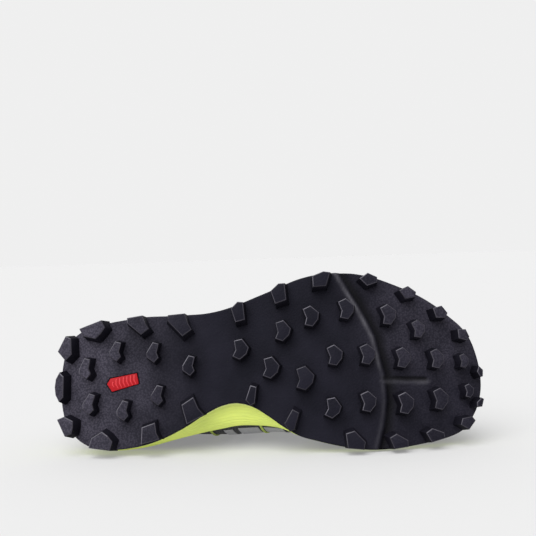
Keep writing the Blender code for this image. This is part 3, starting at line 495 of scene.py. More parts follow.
    @staticmethod
    def throat_half(x: float, margin: float = 0.0) -> float:
        """Half the throat's width at x, grown by a margin, nothing past its round end."""
        centre = THROAT_END - THROAT_END_WIDTH / 2
        if x > centre:
            radius = THROAT_END_WIDTH / 2 + margin
            return math.sqrt(max(0, radius ** 2 - (x - centre) ** 2))
        share = min(max((x - THROAT_START) / (THROAT_END - THROAT_START), 0), 1)
        return (THROAT_TOP_WIDTH + (THROAT_END_WIDTH - THROAT_TOP_WIDTH) * share) / 2 + margin

    def is_open(self, point: Vector, margin: float = 0.0) -> bool:
        """Whether the upper is cut away at a point, by the collar or by the throat grown by a margin."""
        before_throat = (point.x - SETBACK) / UPPER_LENGTH < COLLAR_LINE[-1][0]
        if before_throat and self.level(point) > self.line_height(self.collar, point.x):
            return True
        half = self.throat_half(point.x, margin)
        return abs(point.y - THROAT_SHIFT) < half and self.level(point) > 0.3 * INSTEP_HEIGHT

    def first(self, turn: float, side: Side, test: Callable[[Vector], bool]) -> float:
        """Share of the way from the edge to the ridge at which a test first holds.

        Args:
            turn: Place along the shoe.
            side: Side of the shoe.
            test: Test of a point of the form.

        Returns:
            The share, 1 where the test never holds.
        """
        count = 40
        low = 0.0
        for i in range(count + 1):
            share = i / count
            if test(self.surface(turn, share if side is Side.MEDIAL else 2 - share)):
                break
            low = share
        else:
            return 1.0
        if share == 0:
            return 0.0
        high = share
        for _ in range(12):
            middle = (low + high) / 2
            if test(self.surface(turn, middle if side is Side.MEDIAL else 2 - middle)):
                high = middle
            else:
                low = middle
        return (low + high) / 2

    def upper_end(self, turn: float, side: Side, margin: float = 0.0) -> float:
        """Share at which the upper's wall ends, at the collar or at the throat grown by a margin."""
        return self.first(turn, side, lambda point: self.is_open(point, margin))

    def line_end(self, turn: float, side: Side, line: Curve) -> float:
        """Share at which a line on the upper is reached."""
        return self.first(turn, side, lambda point: self.level(point) > self.line_height(line, point.x))


LAST = Last()


class Pose:
    """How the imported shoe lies, found from its insole."""

    def __init__(self, node: str = "insole", rounds: int = 30) -> None:
        """Fit the standing insole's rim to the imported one.

        Args:
            node: The solid that is fitted.
            rounds: How often nearest points are paired and fitted.
        """
        inset = -(WALL + 2 * GAP)
        turns = spread(0, math.pi, 32)
        ring = [LAST.lifted(turn, 0.0, inset) for turn in turns]
        ring += [LAST.lifted(turn, 2.0, inset) for turn in turns[1:-1]]
        start = []
        for height in (0, INSOLE):
            start += [(p.x, p.y, LAST.footbed(p.x) + GAP + height) for p in ring]
        packed = [vert.co.copy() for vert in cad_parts[node].data.vertices]
        tree = KDTree(len(packed))
        for i, point in enumerate(packed):
            tree.insert(point, i)
        tree.balance()
        source = np.array(start)
        target = np.array(packed)
        self.matrix = Matrix.Rotation(math.radians(-90), 4, "X")
        shift = Vector(target.mean(axis=0)) - self.matrix @ Vector(source.mean(axis=0))
        self.matrix = Matrix.Translation(shift) @ self.matrix
        for _ in range(rounds):
            pairs = np.array([tree.find(self.matrix @ Vector(p))[0] for p in start])
            self.matrix = self.fit(source, pairs)
        self.error = max(tree.find(self.matrix @ Vector(p))[2] for p in start)

    @staticmethod
    def fit(source: np.ndarray, target: np.ndarray) -> Matrix:
        """Rigid move that brings points as near as can be to their partners."""
        middle, goal = source.mean(axis=0), target.mean(axis=0)
        left, _, right = np.linalg.svd((source - middle).T @ (target - goal))
        turn = right.T @ np.diag([1, 1, np.sign(np.linalg.det(right.T @ left.T))]) @ left.T
        matrix = Matrix(turn.tolist()).to_4x4()
        matrix.translation = Vector(goal - turn @ middle)
        return matrix

    def direction(self, vector: Vector) -> Vector:
        """Direction of the standing shoe as the shoe lies."""
        return (self.matrix.to_3x3() @ vector).normalized()


POSE = Pose()


# Materials

class Painter:
    """Node tree of one material, with short calls for the nodes that the finishes share."""

    def __init__(self, name: str) -> None:
        """Start a Principled material.

        Args:
            name: The material's name.
        """
        self.material = bpy.data.materials.new(name)
        self.material.use_nodes = True
        self.tree = self.material.node_tree
        self.surface = self.tree.nodes["Principled BSDF"]
        coordinates = self.tree.nodes.new("ShaderNodeTexCoord")
        self.place = coordinates.outputs["Object"]
        self.cloth = coordinates.outputs["UV"]

    def add(self, kind: str, inputs: dict | None = None, **settings: object) -> bpy.types.Node:
        """Add a node.

        Args:
            kind: Blender's name of the node.
            inputs: Values or sockets by input name or number.
            settings: Attributes of the node.

        Returns:
            The new node.
        """
        node = self.tree.nodes.new(kind)
        for key, value in settings.items():
            setattr(node, key, value)
        for key, value in (inputs or {}).items():
            self.feed(node.inputs[key], value)
        return node

    def feed(self, socket: bpy.types.NodeSocket, value: object) -> None:
        """Link a socket to another one, or give it a value."""
        if isinstance(value, bpy.types.NodeSocket):
            self.tree.links.new(value, socket)
        else:
            socket.default_value = value

    def set(self, **values: object) -> None:
        """Set or link inputs of the surface; an underscore stands for a space."""
        for key, value in values.items():
            self.feed(self.surface.inputs[key.replace("_", " ")], value)

    def attribute(self, name: str) -> bpy.types.NodeSocket:
        """Value of one of the mesh's own attributes."""
        return self.add("ShaderNodeAttribute", attribute_name=name).outputs["Fac"]

    def noise(self, scale: float, detail: float = 3.0, rough: float = 0.5,
              vector: bpy.types.NodeSocket | None = None) -> bpy.types.NodeSocket:
        """Value of a noise over the piece, in features per metre."""
        values = {"Vector": vector or self.place, "Scale": scale, "Detail": detail, "Roughness": rough}
        return self.add("ShaderNodeTexNoise", values).outputs["Fac"]

    def bands(self, pitch: float, direction: str, bend: float = 0.0) -> bpy.types.NodeSocket:
        """Even waves along one direction of the cloth, their pitch in millimetres."""
        period = 2 * math.pi / 20
        values = {"Vector": self.cloth, "Scale": period / pitch, "Distortion": bend, "Detail": 0.0}
        return self.add("ShaderNodeTexWave", values, bands_direction=direction).outputs["Fac"]

    def cells(self, scale: float) -> bpy.types.NodeSocket:
        """Distance to the middle of the nearest cell, in cells per metre."""
        return self.add("ShaderNodeTexVoronoi", {"Vector": self.place, "Scale": scale}).outputs["Distance"]

    def math(self, operation: str, first: object, second: object = 0.0) -> bpy.types.NodeSocket:
        """Result of a sum on two values or sockets."""
        return self.add("ShaderNodeMath", {0: first, 1: second}, operation=operation).outputs[0]

    def scaled(self, value: object, factor: float, base: object = 0.0) -> bpy.types.NodeSocket:
        """Value times a factor, plus a base."""
        inputs = {0: value, 1: factor, 2: base}
        return self.add("ShaderNodeMath", inputs, operation="MULTIPLY_ADD").outputs[0]

    def blend(self, share: object, first: object, second: object) -> bpy.types.NodeSocket:
        """Colour between two colours or sockets."""
        return self.add("ShaderNodeMix", {0: share, 6: first, 7: second}, data_type="RGBA").outputs[2]

    def ramp(self, value: bpy.types.NodeSocket, low: float, high: float) -> bpy.types.NodeSocket:
        """Value stretched so that low becomes 0 and high becomes 1."""
        names = {"Value": value, "From Min": low, "From Max": high}
        return self.add("ShaderNodeMapRange", names).outputs["Result"]

    def bump(self, height: bpy.types.NodeSocket, depth: float, strength: float = 1.0,
             under: bpy.types.NodeSocket | None = None) -> bpy.types.NodeSocket:
        """Normal of a relief.

        Args:
            height: Relief from 0 to 1.
            depth: Its real depth in metres.
            strength: How much of it shows.
            under: Normal that this one is added to.

        Returns:
            The normal's socket.
        """
        values = {"Height": height, "Distance": depth, "Strength": strength}
        if under is not None:
            values["Normal"] = under
        return self.add("ShaderNodeBump", values).outputs["Normal"]


Colour = tuple[float, float, float, float]


@dataclass(frozen=True)
class Rubber:
    """Matt moulded rubber with a leathery grain, with painted light on its pebble tops where the attribute
    ends is high, painted shade in grooves and painted highlights at their lips.
    """

    name: str
    colour: Colour = (0.0058, 0.0056, 0.0110, 1)
    worn: Colour = (0.0108, 0.0102, 0.0182, 1)
    # Strength of the painted highlight on the pebble tops; at zero the rubber carries no painted light or
    # shade.
    painted_light: float = 1.0
    roughness: float = 0.62
    shine: float = 0.10
    grain: float = 0.22 * MM
    # Colours of painted light: a highlight on pebble tops, a highlight at groove lips and a shade in grooves,
    # in that order.
    pale: Colour = (0.084, 0.077, 0.104, 1)
    painted_glint: Colour = (0.092, 0.089, 0.104, 1)
    deep: Colour = (0.0010, 0.0009, 0.0017, 1)

    def make(self) -> bpy.types.Material:
        """Material of this rubber."""
        paint = Painter(self.name)
        cloud = paint.ramp(paint.noise(38, 4), 0.38, 0.68)
        pebbles = paint.cells(780)
        fine = paint.noise(3200, 2, 0.6)
        relief = paint.scaled(fine, 0.35, paint.scaled(pebbles, 0.65))
        skin = paint.blend(cloud, self.colour, self.worn)
        # Painted light: a pale highlight on the pebble tops where the attribute ends is high, painted shade
        # in the grooves and a streaky painted highlight at their lips.
        if self.painted_light:
            tops = paint.scaled(paint.ramp(pebbles, 0.7, 0.2), 0.6, 0.4)
            patchy = paint.scaled(cloud, 0.45, 0.55)
            share = paint.math("MULTIPLY", paint.math("MULTIPLY", tops, patchy), paint.attribute("ends"))
            skin = paint.blend(paint.scaled(share, self.painted_light), skin, self.pale)
            skin = paint.blend(paint.attribute("shaded"), skin, self.deep)
            streaks = paint.scaled(paint.ramp(paint.noise(120, 3), 0.35, 0.65), 0.6, 0.4)
            skin = paint.blend(paint.math("MULTIPLY", paint.attribute("painted_glint"), streaks), skin, self.painted_glint)
        paint.set(
            Base_Color=skin,
            Roughness=paint.scaled(fine, 0.18, self.roughness - 0.09),
            Normal=paint.bump(relief, self.grain),
            Specular_IOR_Level=self.shine,
        )
        return paint.material


@dataclass(frozen=True)
class Foam:
    """Moulded foam with fine lines along its side, painted shade in their hollows and a painted highlight
    along its rims.
    """

    name: str
    colour: Colour = (0.84, 0.95, 0.20, 1)
    shade: Colour = (0.75, 0.88, 0.19, 1)
    rim: Colour = (0.96, 0.98, 0.68, 1)

    def make(self) -> bpy.types.Material:
        """Material of this foam."""
        paint = Painter(self.name)
        cloud = paint.ramp(paint.noise(70, 3), 0.3, 0.7)
        # Painted shade darkens the hollows of the lines; the rims are paled as a painted highlight.
        lines = paint.ramp(paint.attribute("lines"), 0.0, 1.0)
        skin = paint.blend(cloud, self.colour, self.shade)
        lined = paint.blend(paint.scaled(lines, 0.55), skin, self.shade)
        fine = paint.noise(2600, 2)
        paint.set(
            Base_Color=paint.blend(paint.attribute("rim"), lined, self.rim),
            Roughness=0.6,
            Normal=paint.bump(fine, 0.06 * MM, 0.6),
            Subsurface_Weight=0.06,
            Subsurface_Radius=(0.004, 0.004, 0.001),
            Subsurface_Scale=0.4,
        )
        return paint.material


@dataclass(frozen=True)
class Plain:
    """Satin plastic with a faint grain."""

    name: str
    colour: Colour
    roughness: float
    shine: float
    grain: float = 0.02 * MM

    def make(self) -> bpy.types.Material:
        """Material of this plastic."""
        paint = Painter(self.name)
        fine = paint.noise(2500, 2)
        cloud = paint.noise(90, 3)
        tone = tuple(0.86 * part for part in self.colour[:3]) + (1,)
        paint.set(
            Base_Color=paint.blend(cloud, self.colour, tone),
            Roughness=paint.scaled(fine, 0.12, self.roughness - 0.06),
            Specular_IOR_Level=self.shine,
            Normal=paint.bump(fine, self.grain),
        )
        return paint.material


@dataclass(frozen=True)
class Knit:
    """Open cloth of crossing threads; pitch and depth are in millimetres and metres."""

    name: str
    colour: Colour = (0.0050, 0.0050, 0.0068, 1)
    thread: Colour = (0.058, 0.058, 0.068, 1)
    pitch: float = 2.1
    depth: float = 0.34 * MM
    roughness: float = 0.85
    sheen: float = 0.12

    def make(self) -> bpy.types.Material:
        """Material of this cloth."""
        paint = Painter(self.name)
        along = paint.bands(self.pitch, "X", 0.25)
        across = paint.bands(self.pitch * 0.8, "Y", 0.25)
        weave = paint.math("MAXIMUM", along, across)
        fuzz = paint.noise(3600, 3)
        relief = paint.scaled(weave, 0.8, paint.scaled(fuzz, 0.2))
        cloud = paint.scaled(paint.ramp(paint.noise(55, 3), 0.2, 0.8), 0.5, 0.5)
        shade = paint.math("MULTIPLY", paint.ramp(weave, 0.45, 1.0), cloud)
        paint.set(
            Base_Color=paint.blend(shade, self.colour, self.thread),
            Roughness=self.roughness,
            Normal=paint.bump(relief, self.depth),
            Specular_IOR_Level=0.2,
            Sheen_Weight=self.sheen,
            Sheen_Roughness=0.5,
        )
        return paint.material


@dataclass(frozen=True)
class Film:
    """Thin welded film, with the cloth under it just showing through."""

    name: str
    colour: Colour
    worn: Colour
    roughness: float = 0.42
    pitch: float = 1.5
    depth: float = 0.05 * MM
    pinholes: float = 0.0

    def make(self) -> bpy.types.Material:
        """Material of this film, with pinholes at an even spacing in millimetres where there are any."""
        paint = Painter(self.name)
        weave = paint.math("MULTIPLY", paint.bands(self.pitch, "X"), paint.bands(self.pitch, "Y"))
        scuff = paint.ramp(paint.noise(240, 5, 0.65), 0.55, 0.75)
        fine = paint.noise(1800, 3)
        relief = paint.scaled(fine, 0.35, weave)
        skin = paint.blend(paint.scaled(scuff, 0.6), self.colour, self.worn)
        normal = paint.bump(relief, self.depth)
        if self.pinholes:
            values = {"Vector": paint.cloth, "Scale": 1 / self.pinholes, "Randomness": 0.0}
            spots = paint.add("ShaderNodeTexVoronoi", values).outputs["Distance"]
            hole = paint.ramp(spots, 0.14, 0.10)
            skin = paint.blend(hole, skin, (0.001, 0.001, 0.001, 1))
            normal = paint.bump(paint.scaled(hole, -1.0, 1.0), 0.3 * MM, 1.0, normal)
        paint.set(
            Base_Color=skin,
            Roughness=paint.scaled(fine, 0.2, self.roughness - 0.1),
            Normal=normal,
            Specular_IOR_Level=0.35,
        )
        return paint.material


@dataclass(frozen=True)
class Woven:
    """Flat woven band with slanting yarns."""

    name: str
    colour: Colour = (0.66, 0.80, 0.14, 1)
    shade: Colour = (0.30, 0.40, 0.045, 1)
    pitch: float = 0.95
    depth: float = 0.22 * MM

    def make(self) -> bpy.types.Material:
        """Material of this band."""
        paint = Painter(self.name)
        slant = paint.bands(self.pitch, "DIAGONAL", 0.2)
        cross = paint.bands(self.pitch, "Y", 0.2)
        weave = paint.math("MULTIPLY", slant, paint.scaled(cross, 0.5, 0.5))
        fuzz = paint.noise(3800, 3)
        relief = paint.scaled(fuzz, 0.25, weave)
        paint.set(
            Base_Color=paint.blend(paint.ramp(weave, 0.05, 0.7), self.shade, self.colour),
            Roughness=0.8,
            Normal=paint.bump(relief, self.depth),
            Specular_IOR_Level=0.25,
            Sheen_Weight=0.15,
            Sheen_Roughness=0.5,
        )
        return paint.material


# Mesh helpers

def deselect() -> None:
    """Leave edit mode and deselect everything."""
    if bpy.context.object is not None and bpy.context.object.mode != "OBJECT":
        bpy.ops.object.mode_set(mode="OBJECT")
    bpy.ops.object.select_all(action="DESELECT")


def pick(piece: bpy.types.Object) -> None:
    """Make one object the only selected and active one."""
    deselect()
    piece.select_set(True)
    bpy.context.view_layer.objects.active = piece


def edit(piece: bpy.types.Object, *steps: Callable[[], object]) -> None:
    """Run mesh operators on all of a piece in edit mode."""
    pick(piece)
    bpy.ops.object.mode_set(mode="EDIT")
    bpy.ops.mesh.select_all(action="SELECT")
    for step in steps:
        step()
    bpy.ops.object.mode_set(mode="OBJECT")


def copy_node(node: str, name: str) -> bpy.types.Object:
    """Copy of a CAD node with its loose triangles joined."""
    piece = bpy.data.objects.new(name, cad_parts[node].data.copy())
    bpy.context.scene.collection.objects.link(piece)
    piece.data.materials.clear()
    edit(piece, lambda: bpy.ops.mesh.remove_doubles(threshold=0.005 * MM))
    return piece


def grid(name: str, us: Sequence[float], vs: Sequence[float],
         place: Callable[[float, float], Vector]) -> bpy.types.Object:
    """Grid primitive whose points are moved on to a form, still standing.

    Args:
        name: The piece's name.
        us: Values along its first direction.
        vs: Values along its second direction.
        place: Point of the form from one value of each.

    Returns:
        The piece, its faces turned as the grid was.
    """
    deselect()
    columns, rows = len(us) - 1, len(vs) - 1
    bpy.ops.mesh.primitive_grid_add(x_subdivisions=columns, y_subdivisions=rows, size=2, location=(0, 0, 0))
    piece = bpy.context.object
    piece.name = name
    piece.data.name = name
    spots = {}
    places = {}
    for vert in piece.data.vertices:
        spot = (round((vert.co.x + 1) / 2 * columns), round((vert.co.y + 1) / 2 * rows))
        vert.co = place(us[spot[0]], vs[spot[1]])
        spots[vert.index] = spot
        places[spot] = vert.co.copy()
    measure(piece.data, spots, places)
    return piece


def measure(mesh: bpy.types.Mesh, spots: dict[int, tuple[int, int]],
            places: dict[tuple[int, int], Vector]) -> None:
    """Texture coordinates in millimetres along a grid's two directions.

    Args:
        mesh: The grid's mesh.
        spots: Column and row of each vertex.
        places: Point of each column and row.
    """
    columns = max(spot[0] for spot in places)
    rows = max(spot[1] for spot in places)
    middle = rows // 2
    along = [0.0]
    for i in range(columns):
        along.append(along[-1] + (places[i + 1, middle] - places[i, middle]).length)
    across = {}
    for i in range(columns + 1):
        length = 0.0
        for j in range(rows + 1):
            if j > 0:
                length += (places[i, j] - places[i, j - 1]).length
            across[i, j] = length
    coordinates = mesh.uv_layers.active.data
    for loop in mesh.loops:
        spot = spots[loop.vertex_index]
        coordinates[loop.index].uv = (along[spot[0]] / MM, across[spot] / MM)


def join(pieces: Sequence[bpy.types.Object], name: str, weld: float = WELD) -> bpy.types.Object:
    """One piece from several, with the points they share merged."""
    deselect()
    for piece in pieces:
        piece.select_set(True)
    bpy.context.view_layer.objects.active = pieces[0]
    if len(pieces) > 1:
        bpy.ops.object.join()
    whole = bpy.context.view_layer.objects.active
    whole.name = name
    whole.data.name = name
    edit(whole, lambda: bpy.ops.mesh.remove_doubles(threshold=weld),
         lambda: bpy.ops.mesh.dissolve_degenerate(threshold=weld / 4))
    return whole


def face_outwards(piece: bpy.types.Object, inside: Vector, reach: float = 12 * MM) -> None:
    """Turn the faces of an open skin away from the shoe's inside."""
    mesh = piece.data
    votes = 0
    for face in mesh.polygons:
        core = Vector((face.center.x, inside.y, inside.z))
        if (face.center - core).length > reach:
            votes += 1 if face.normal.dot(face.center - core) > 0 else -1
    if votes < 0:
        edit(piece, lambda: bpy.ops.mesh.flip_normals())


def apply_modifier(piece: bpy.types.Object, kind: str, **settings: object) -> None:
    """Add a modifier, set it and apply it."""
    pick(piece)
    modifier = piece.modifiers.new(kind.title(), kind)
    for key, value in settings.items():
        setattr(modifier, key, value)
    bpy.ops.object.modifier_apply(modifier=modifier.name)


def lay(piece: bpy.types.Object) -> None:
    """Turn a standing piece into its place and keep it on the floor."""
    piece.data.transform(POSE.matrix)
    for vert in piece.data.vertices:
        vert.co.z = max(vert.co.z, FLOOR_CLEARANCE)


def give_materials(piece: bpy.types.Object, materials: Sequence[bpy.types.Material]) -> None:
    """Add materials in the order of the faces' numbers."""
    for material in materials:
        piece.data.materials.append(material)


def dress(piece: bpy.types.Object, materials: Sequence[bpy.types.Material], slot: str,
          nodes: Sequence[str] = (), sharp: float = 40.0) -> bpy.types.Object:
    """Give a piece its materials and smooth shading, and let it ride on the shoe.

    Args:
        piece: The piece, in its place.
        materials: Its materials, in the order of its faces' numbers.
        slot: Not used.
        nodes: CAD nodes that it stands for.
        sharp: Angle in degrees past which an edge stays sharp.

    Returns:
        The piece.
    """
    if not piece.data.materials:
        give_materials(piece, materials)
    piece.data.shade_smooth()
    piece.data.set_sharp_from_angle(angle=math.radians(sharp))
    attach(piece, BODY)
    if nodes:
        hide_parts(*nodes)
    return piece


# The sole

@dataclass
class Outsole:
    """Rubber plate with soft flex grooves, and studs whose rounded edges carry a painted highlight."""

    stations: int = 320
    across: int = 110
    groove_depth: float = 1.5 * GROOVE_DEPTH
    groove_start: float = 1.0 * MM
    groove_drop: float = 2.2 * MM
    groove_rise: float = 8.0 * MM
    groove_lip: float = 0.35 * MM
    branch_half: float = 2.6 * MM
    edge_round: float = 0.9 * MM
    stud_round: float = 0.50 * MM
    root: float = 0.9 * MM
    lip_place: float = 0.9 * MM
    lip_width: float = 1.1 * MM
    plate_zone: float = 0.8 * MM
    skin_zone: float = 0.35 * MM
    lit_from: tuple[float, float, float] = (-0.55, -0.80, 0.0)
    face: Rubber = Rubber("outsole_rubber")
    # Stud walls: a slightly darker copy of the rubber with no painted highlight, as painted shade.
    wall: Rubber = Rubber(
        "stud_wall_rubber", (0.0056, 0.0052, 0.0090, 1), (0.0082, 0.0076, 0.0130, 1),
        painted_light=0.0, roughness=0.7, shine=0.08, grain=0.04 * MM)
    # Rounded stud edges: a paler copy of the rubber as painted highlight, and a dimmer one where they face
    # away from lit_from.
    lit_edge: Rubber = Rubber(
        "stud_edge_lit", (0.120, 0.114, 0.138, 1), (0.034, 0.032, 0.042, 1),
        painted_light=0.0, roughness=0.5, shine=0.3, grain=0.03 * MM)
    dim_edge: Rubber = Rubber(
        "stud_edge_dim", (0.052, 0.048, 0.062, 1), (0.020, 0.018, 0.025, 1),
        painted_light=0.0, roughness=0.55, shine=0.15, grain=0.03 * MM)

    @staticmethod
    def painted_light_share(point: Vector) -> float:
        """Share of painted light on the rubber's pebble tops: most at the heel, less at the toe and there on
        its lateral side, where the plate turns towards the light.
        """
        share = point.x / SOLE_LENGTH
        lateral = ease((0.15 * BALL_WIDTH - point.y) / (0.45 * BALL_WIDTH))
        toe = ease((share - 0.62) / 0.30) * (0.22 + 0.48 * lateral)
        return max(1 - ease((share - 0.01) / 0.37), toe)

    def groove_tones(self, plan: Vector) -> tuple[float, float]:
        """How much painted shade a plan point gets in a groove, and how much painted highlight at the main
        groove's lip and beside the branch groove.
        """
        main = self.nearest(plan, self.main_path) + self.groove_start
        branch = self.nearest(plan, self.branch_path)
        trough = ease(main / self.groove_drop) * (1 - ease((main - self.groove_drop) / self.groove_rise))
        slot = 1 - ease((abs(branch) - 0.8 * MM) / (1.4 * MM))
        # The lip's painted highlight is strongest on the lateral side, which faces the light; the glint is a
        # painted highlight beside the branch groove on its medial side.
        side = 1 - 0.72 * ease((plan.y + 0.10 * BALL_WIDTH) / (0.16 * BALL_WIDTH))
        lip = side * dip((main + self.lip_place) / (1.2 * MM))
        lower = plan.y - self.branch_path[0].y
        glint = dip((lower - 2.6 * MM) / (1.8 * MM)) * (1 - ease((abs(branch) - 3.0 * MM) / (2 * MM)))
        return 0.9 * max(trough, slot), max(lip, 0.45 * glint)

    def mark(self, mesh: bpy.types.Mesh) -> None:
        """Keep at each point its painted light at heel and toe, its painted shade in a groove and its painted
        highlight beside one.
        """
        layers = [mesh.attributes.new(name, "FLOAT", "POINT").data for name in ("ends", "shaded", "painted_glint")]
        for vert, *values in zip(mesh.vertices, *layers):
            on_plate = LAST.plate_bottom(vert.co.x) - vert.co.z < self.plate_zone
            tones = self.groove_tones(vert.co.to_2d()) if on_plate else (0.0, 0.0)
            for value, tone in zip(values, (self.painted_light_share(vert.co), *tones)):
                value.value = tone

    @staticmethod
    def nearest(point: Vector, path: Sequence[Vector]) -> float:
        """Distance of a plan point from a path, positive on its toe side."""
        best = None
        for a, b in zip(path, path[1:]):
            along = b - a
            t = min(max((point - a).dot(along) / along.length_squared, 0), 1)
            away = point - (a + along * t)
            if best is None or away.length < abs(best):
                best = math.copysign(away.length, away.x)
        return best

    def groove(self, point: Vector) -> float:
        """Depth of the flex grooves at a plan point: a steep side towards the heel, a soft one past it."""
        main = self.nearest(point, self.main_path) + self.groove_start
        if main < self.groove_drop:
            depth = ease(main / self.groove_drop)
        else:
            depth = 1 - ease((main - self.groove_drop) / self.groove_rise)
        lip = self.groove_lip * dip((main + self.lip_place) / self.lip_width)
        branch = 1 - ease(abs(self.nearest(point, self.branch_path)) / self.branch_half)
        return self.groove_depth * max(depth, 0.7 * branch) - lip

    def bottom(self, turn: float, share: float) -> Vector:
        """Point of the plate's lower face, from its medial to its lateral edge."""
        medial = LAST.edge(turn, Side.MEDIAL)
        lateral = LAST.edge(turn, Side.LATERAL)
        plan = medial.lerp(lateral, share)
        span = (medial - lateral).length
        edge = min(share, 1 - share) * span
        inset = max(0, 1 - edge / self.edge_round)
        rise = self.edge_round * (1 - math.sqrt(max(0, 1 - inset ** 2)))
        return Vector((plan.x, plan.y, LAST.plate_bottom(plan.x) + self.groove(plan) + rise))

    def plate(self) -> bpy.types.Object:
        """Closed plate with its soft grooves."""
        self.main_path = [Vector((s * SOLE_LENGTH, a * BALL_WIDTH)) for s, a in MAIN_GROOVE]
        self.branch_path = [Vector((s * SOLE_LENGTH, a * BALL_WIDTH)) for s, a in BRANCH_GROOVE]
        us = spread(0, math.pi, self.stations)
        rounding = (0.0, 0.003, 0.007)
        inner = spread(0.012, 0.988, self.across)
        vs = [*rounding, *inner, *(1 - r for r in reversed(rounding)), *spread(2, 3, 6)]

        def place(turn: float, v: float) -> Vector:
            if v <= 1:
                return self.bottom(turn, v)
            point = LAST.edge(turn, Side.LATERAL).lerp(LAST.edge(turn, Side.MEDIAL), v - 2)
            return Vector((point.x, point.y, LAST.plate_bottom(point.x) + PLATE))

        lower = grid("plate", us, vs, place)

        def side(turn: float, v: float) -> Vector:
            point = LAST.edge(turn, Side.MEDIAL)
            low = self.edge_round if v == 0 else PLATE
            return Vector((point.x, point.y, LAST.plate_bottom(point.x) + low))

        closing = grid("plate_side", us, [0.0, 1.0], side)
        plate = join([lower, closing], "plate", 0.01 * MM)
        edit(plate, lambda: bpy.ops.mesh.fill_holes(sides=0),
             lambda: bpy.ops.mesh.normals_make_consistent(inside=False))
        return plate

    def studs(self) -> bpy.types.Object:
        """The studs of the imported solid, their edges rounded and their roots sunk in the plate."""
        studs = copy_node("outsole", "studs")
        studs.data.transform(POSE.matrix.inverted())
        work = bmesh.new()
        work.from_mesh(studs.data)
        spare = []
        for face in work.faces:
            centre = face.calc_center_median()
            if LAST.plate_bottom(centre.x) - centre.z < self.skin_zone:
                spare.append(face)
        bmesh.ops.delete(work, geom=spare, context="FACES")
        bmesh.ops.dissolve_limit(
            work, angle_limit=math.radians(1.0), verts=work.verts, edges=work.edges,
            use_dissolve_boundaries=False)
        for vert in work.verts:
            if any(edge.is_boundary for edge in vert.link_edges):
                vert.co.z += self.root
        tips = []
        for edge in work.edges:
            low = all(LAST.plate_bottom(vert.co.x) - vert.co.z > 0.6 * STUD_DEPTH for vert in edge.verts)
            if low and len(edge.link_faces) == 2 and edge.calc_face_angle(0) > math.radians(30):
                tips.append(edge)
        bmesh.ops.bevel(
            work, geom=tips, offset=self.stud_round, offset_type="OFFSET", segments=2, profile=0.6,
            affect="EDGES", material=1, clamp_overlap=True)
        work.normal_update()
        # Edges that face away from lit_from take the dim copy, and steep faces the wall copy: painted light
        # and shade.
        lit_from = Vector(self.lit_from)
        for face in work.faces:
            if face.material_index == 1 and face.normal.dot(lit_from) < 0.15:
                face.material_index = 3
            elif face.material_index == 0 and abs(face.normal.z) < 0.75:
                face.material_index = 2
        work.to_mesh(studs.data)
        work.free()
        return studs

    def dress(self) -> list[bpy.types.Object]:
        """Build plate and studs and give them their finish."""
        plate = self.plate()
        outline = badge_outline(BADGE_MARGIN)
        floor = LAST.plate_bottom(BADGE_PLACE[0] * SOLE_LENGTH) + BADGE_RECESS
        cut_prism(plate, outline, -STUD_DEPTH, floor)
        studs = self.studs()
        materials = [self.face.make(), self.lit_edge.make(), self.wall.make(), self.dim_edge.make()]
        for piece in (plate, studs):
            give_materials(piece, materials)
        whole = join([plate, studs], "outsole_rubber", 0.001 * MM)
        self.mark(whole.data)
        lay(whole)
        return [dress(whole, materials, "outsole", ["outsole"], 50)]


def badge_outline(margin: float) -> list[Vector]:
    """Plan outline of the badge, grown by a margin."""
    station, across = BADGE_PLACE
    centre = Vector((station * SOLE_LENGTH, across * BALL_WIDTH))
    points = [centre + Vector((a * BADGE_LENGTH, b * BADGE_WIDTH)) for a, b in BADGE_SHAPE]
    middle = sum(points, Vector((0, 0))) / len(points)
    return [point + (point - middle).normalized() * margin for point in points]


def prism(name: str, outline: Sequence[Vector], low: float, high: float) -> bpy.types.Object:
    """Upright prism, from a cylinder primitive whose points are moved to an outline."""
    deselect()
    count = len(outline)
    bpy.ops.mesh.primitive_cylinder_add(vertices=count, radius=1, depth=2, location=(0, 0, 0))
    piece = bpy.context.object
    piece.name = name
    for vert in piece.data.vertices:
        corner = outline[round(math.atan2(vert.co.x, vert.co.y) / (2 * math.pi) * count) % count]
        vert.co = (corner.x, corner.y, high if vert.co.z > 0 else low)
    edit(piece, lambda: bpy.ops.mesh.normals_make_consistent(inside=False))
    return piece


def cut_prism(piece: bpy.types.Object, outline: Sequence[Vector], low: float, high: float) -> None:
    """Cut an upright prism out of a piece."""
    tool = prism("cutter", outline, low, high)
    apply_modifier(piece, "BOOLEAN", object=tool, operation="DIFFERENCE", solver="EXACT")
    bpy.data.objects.remove(tool)


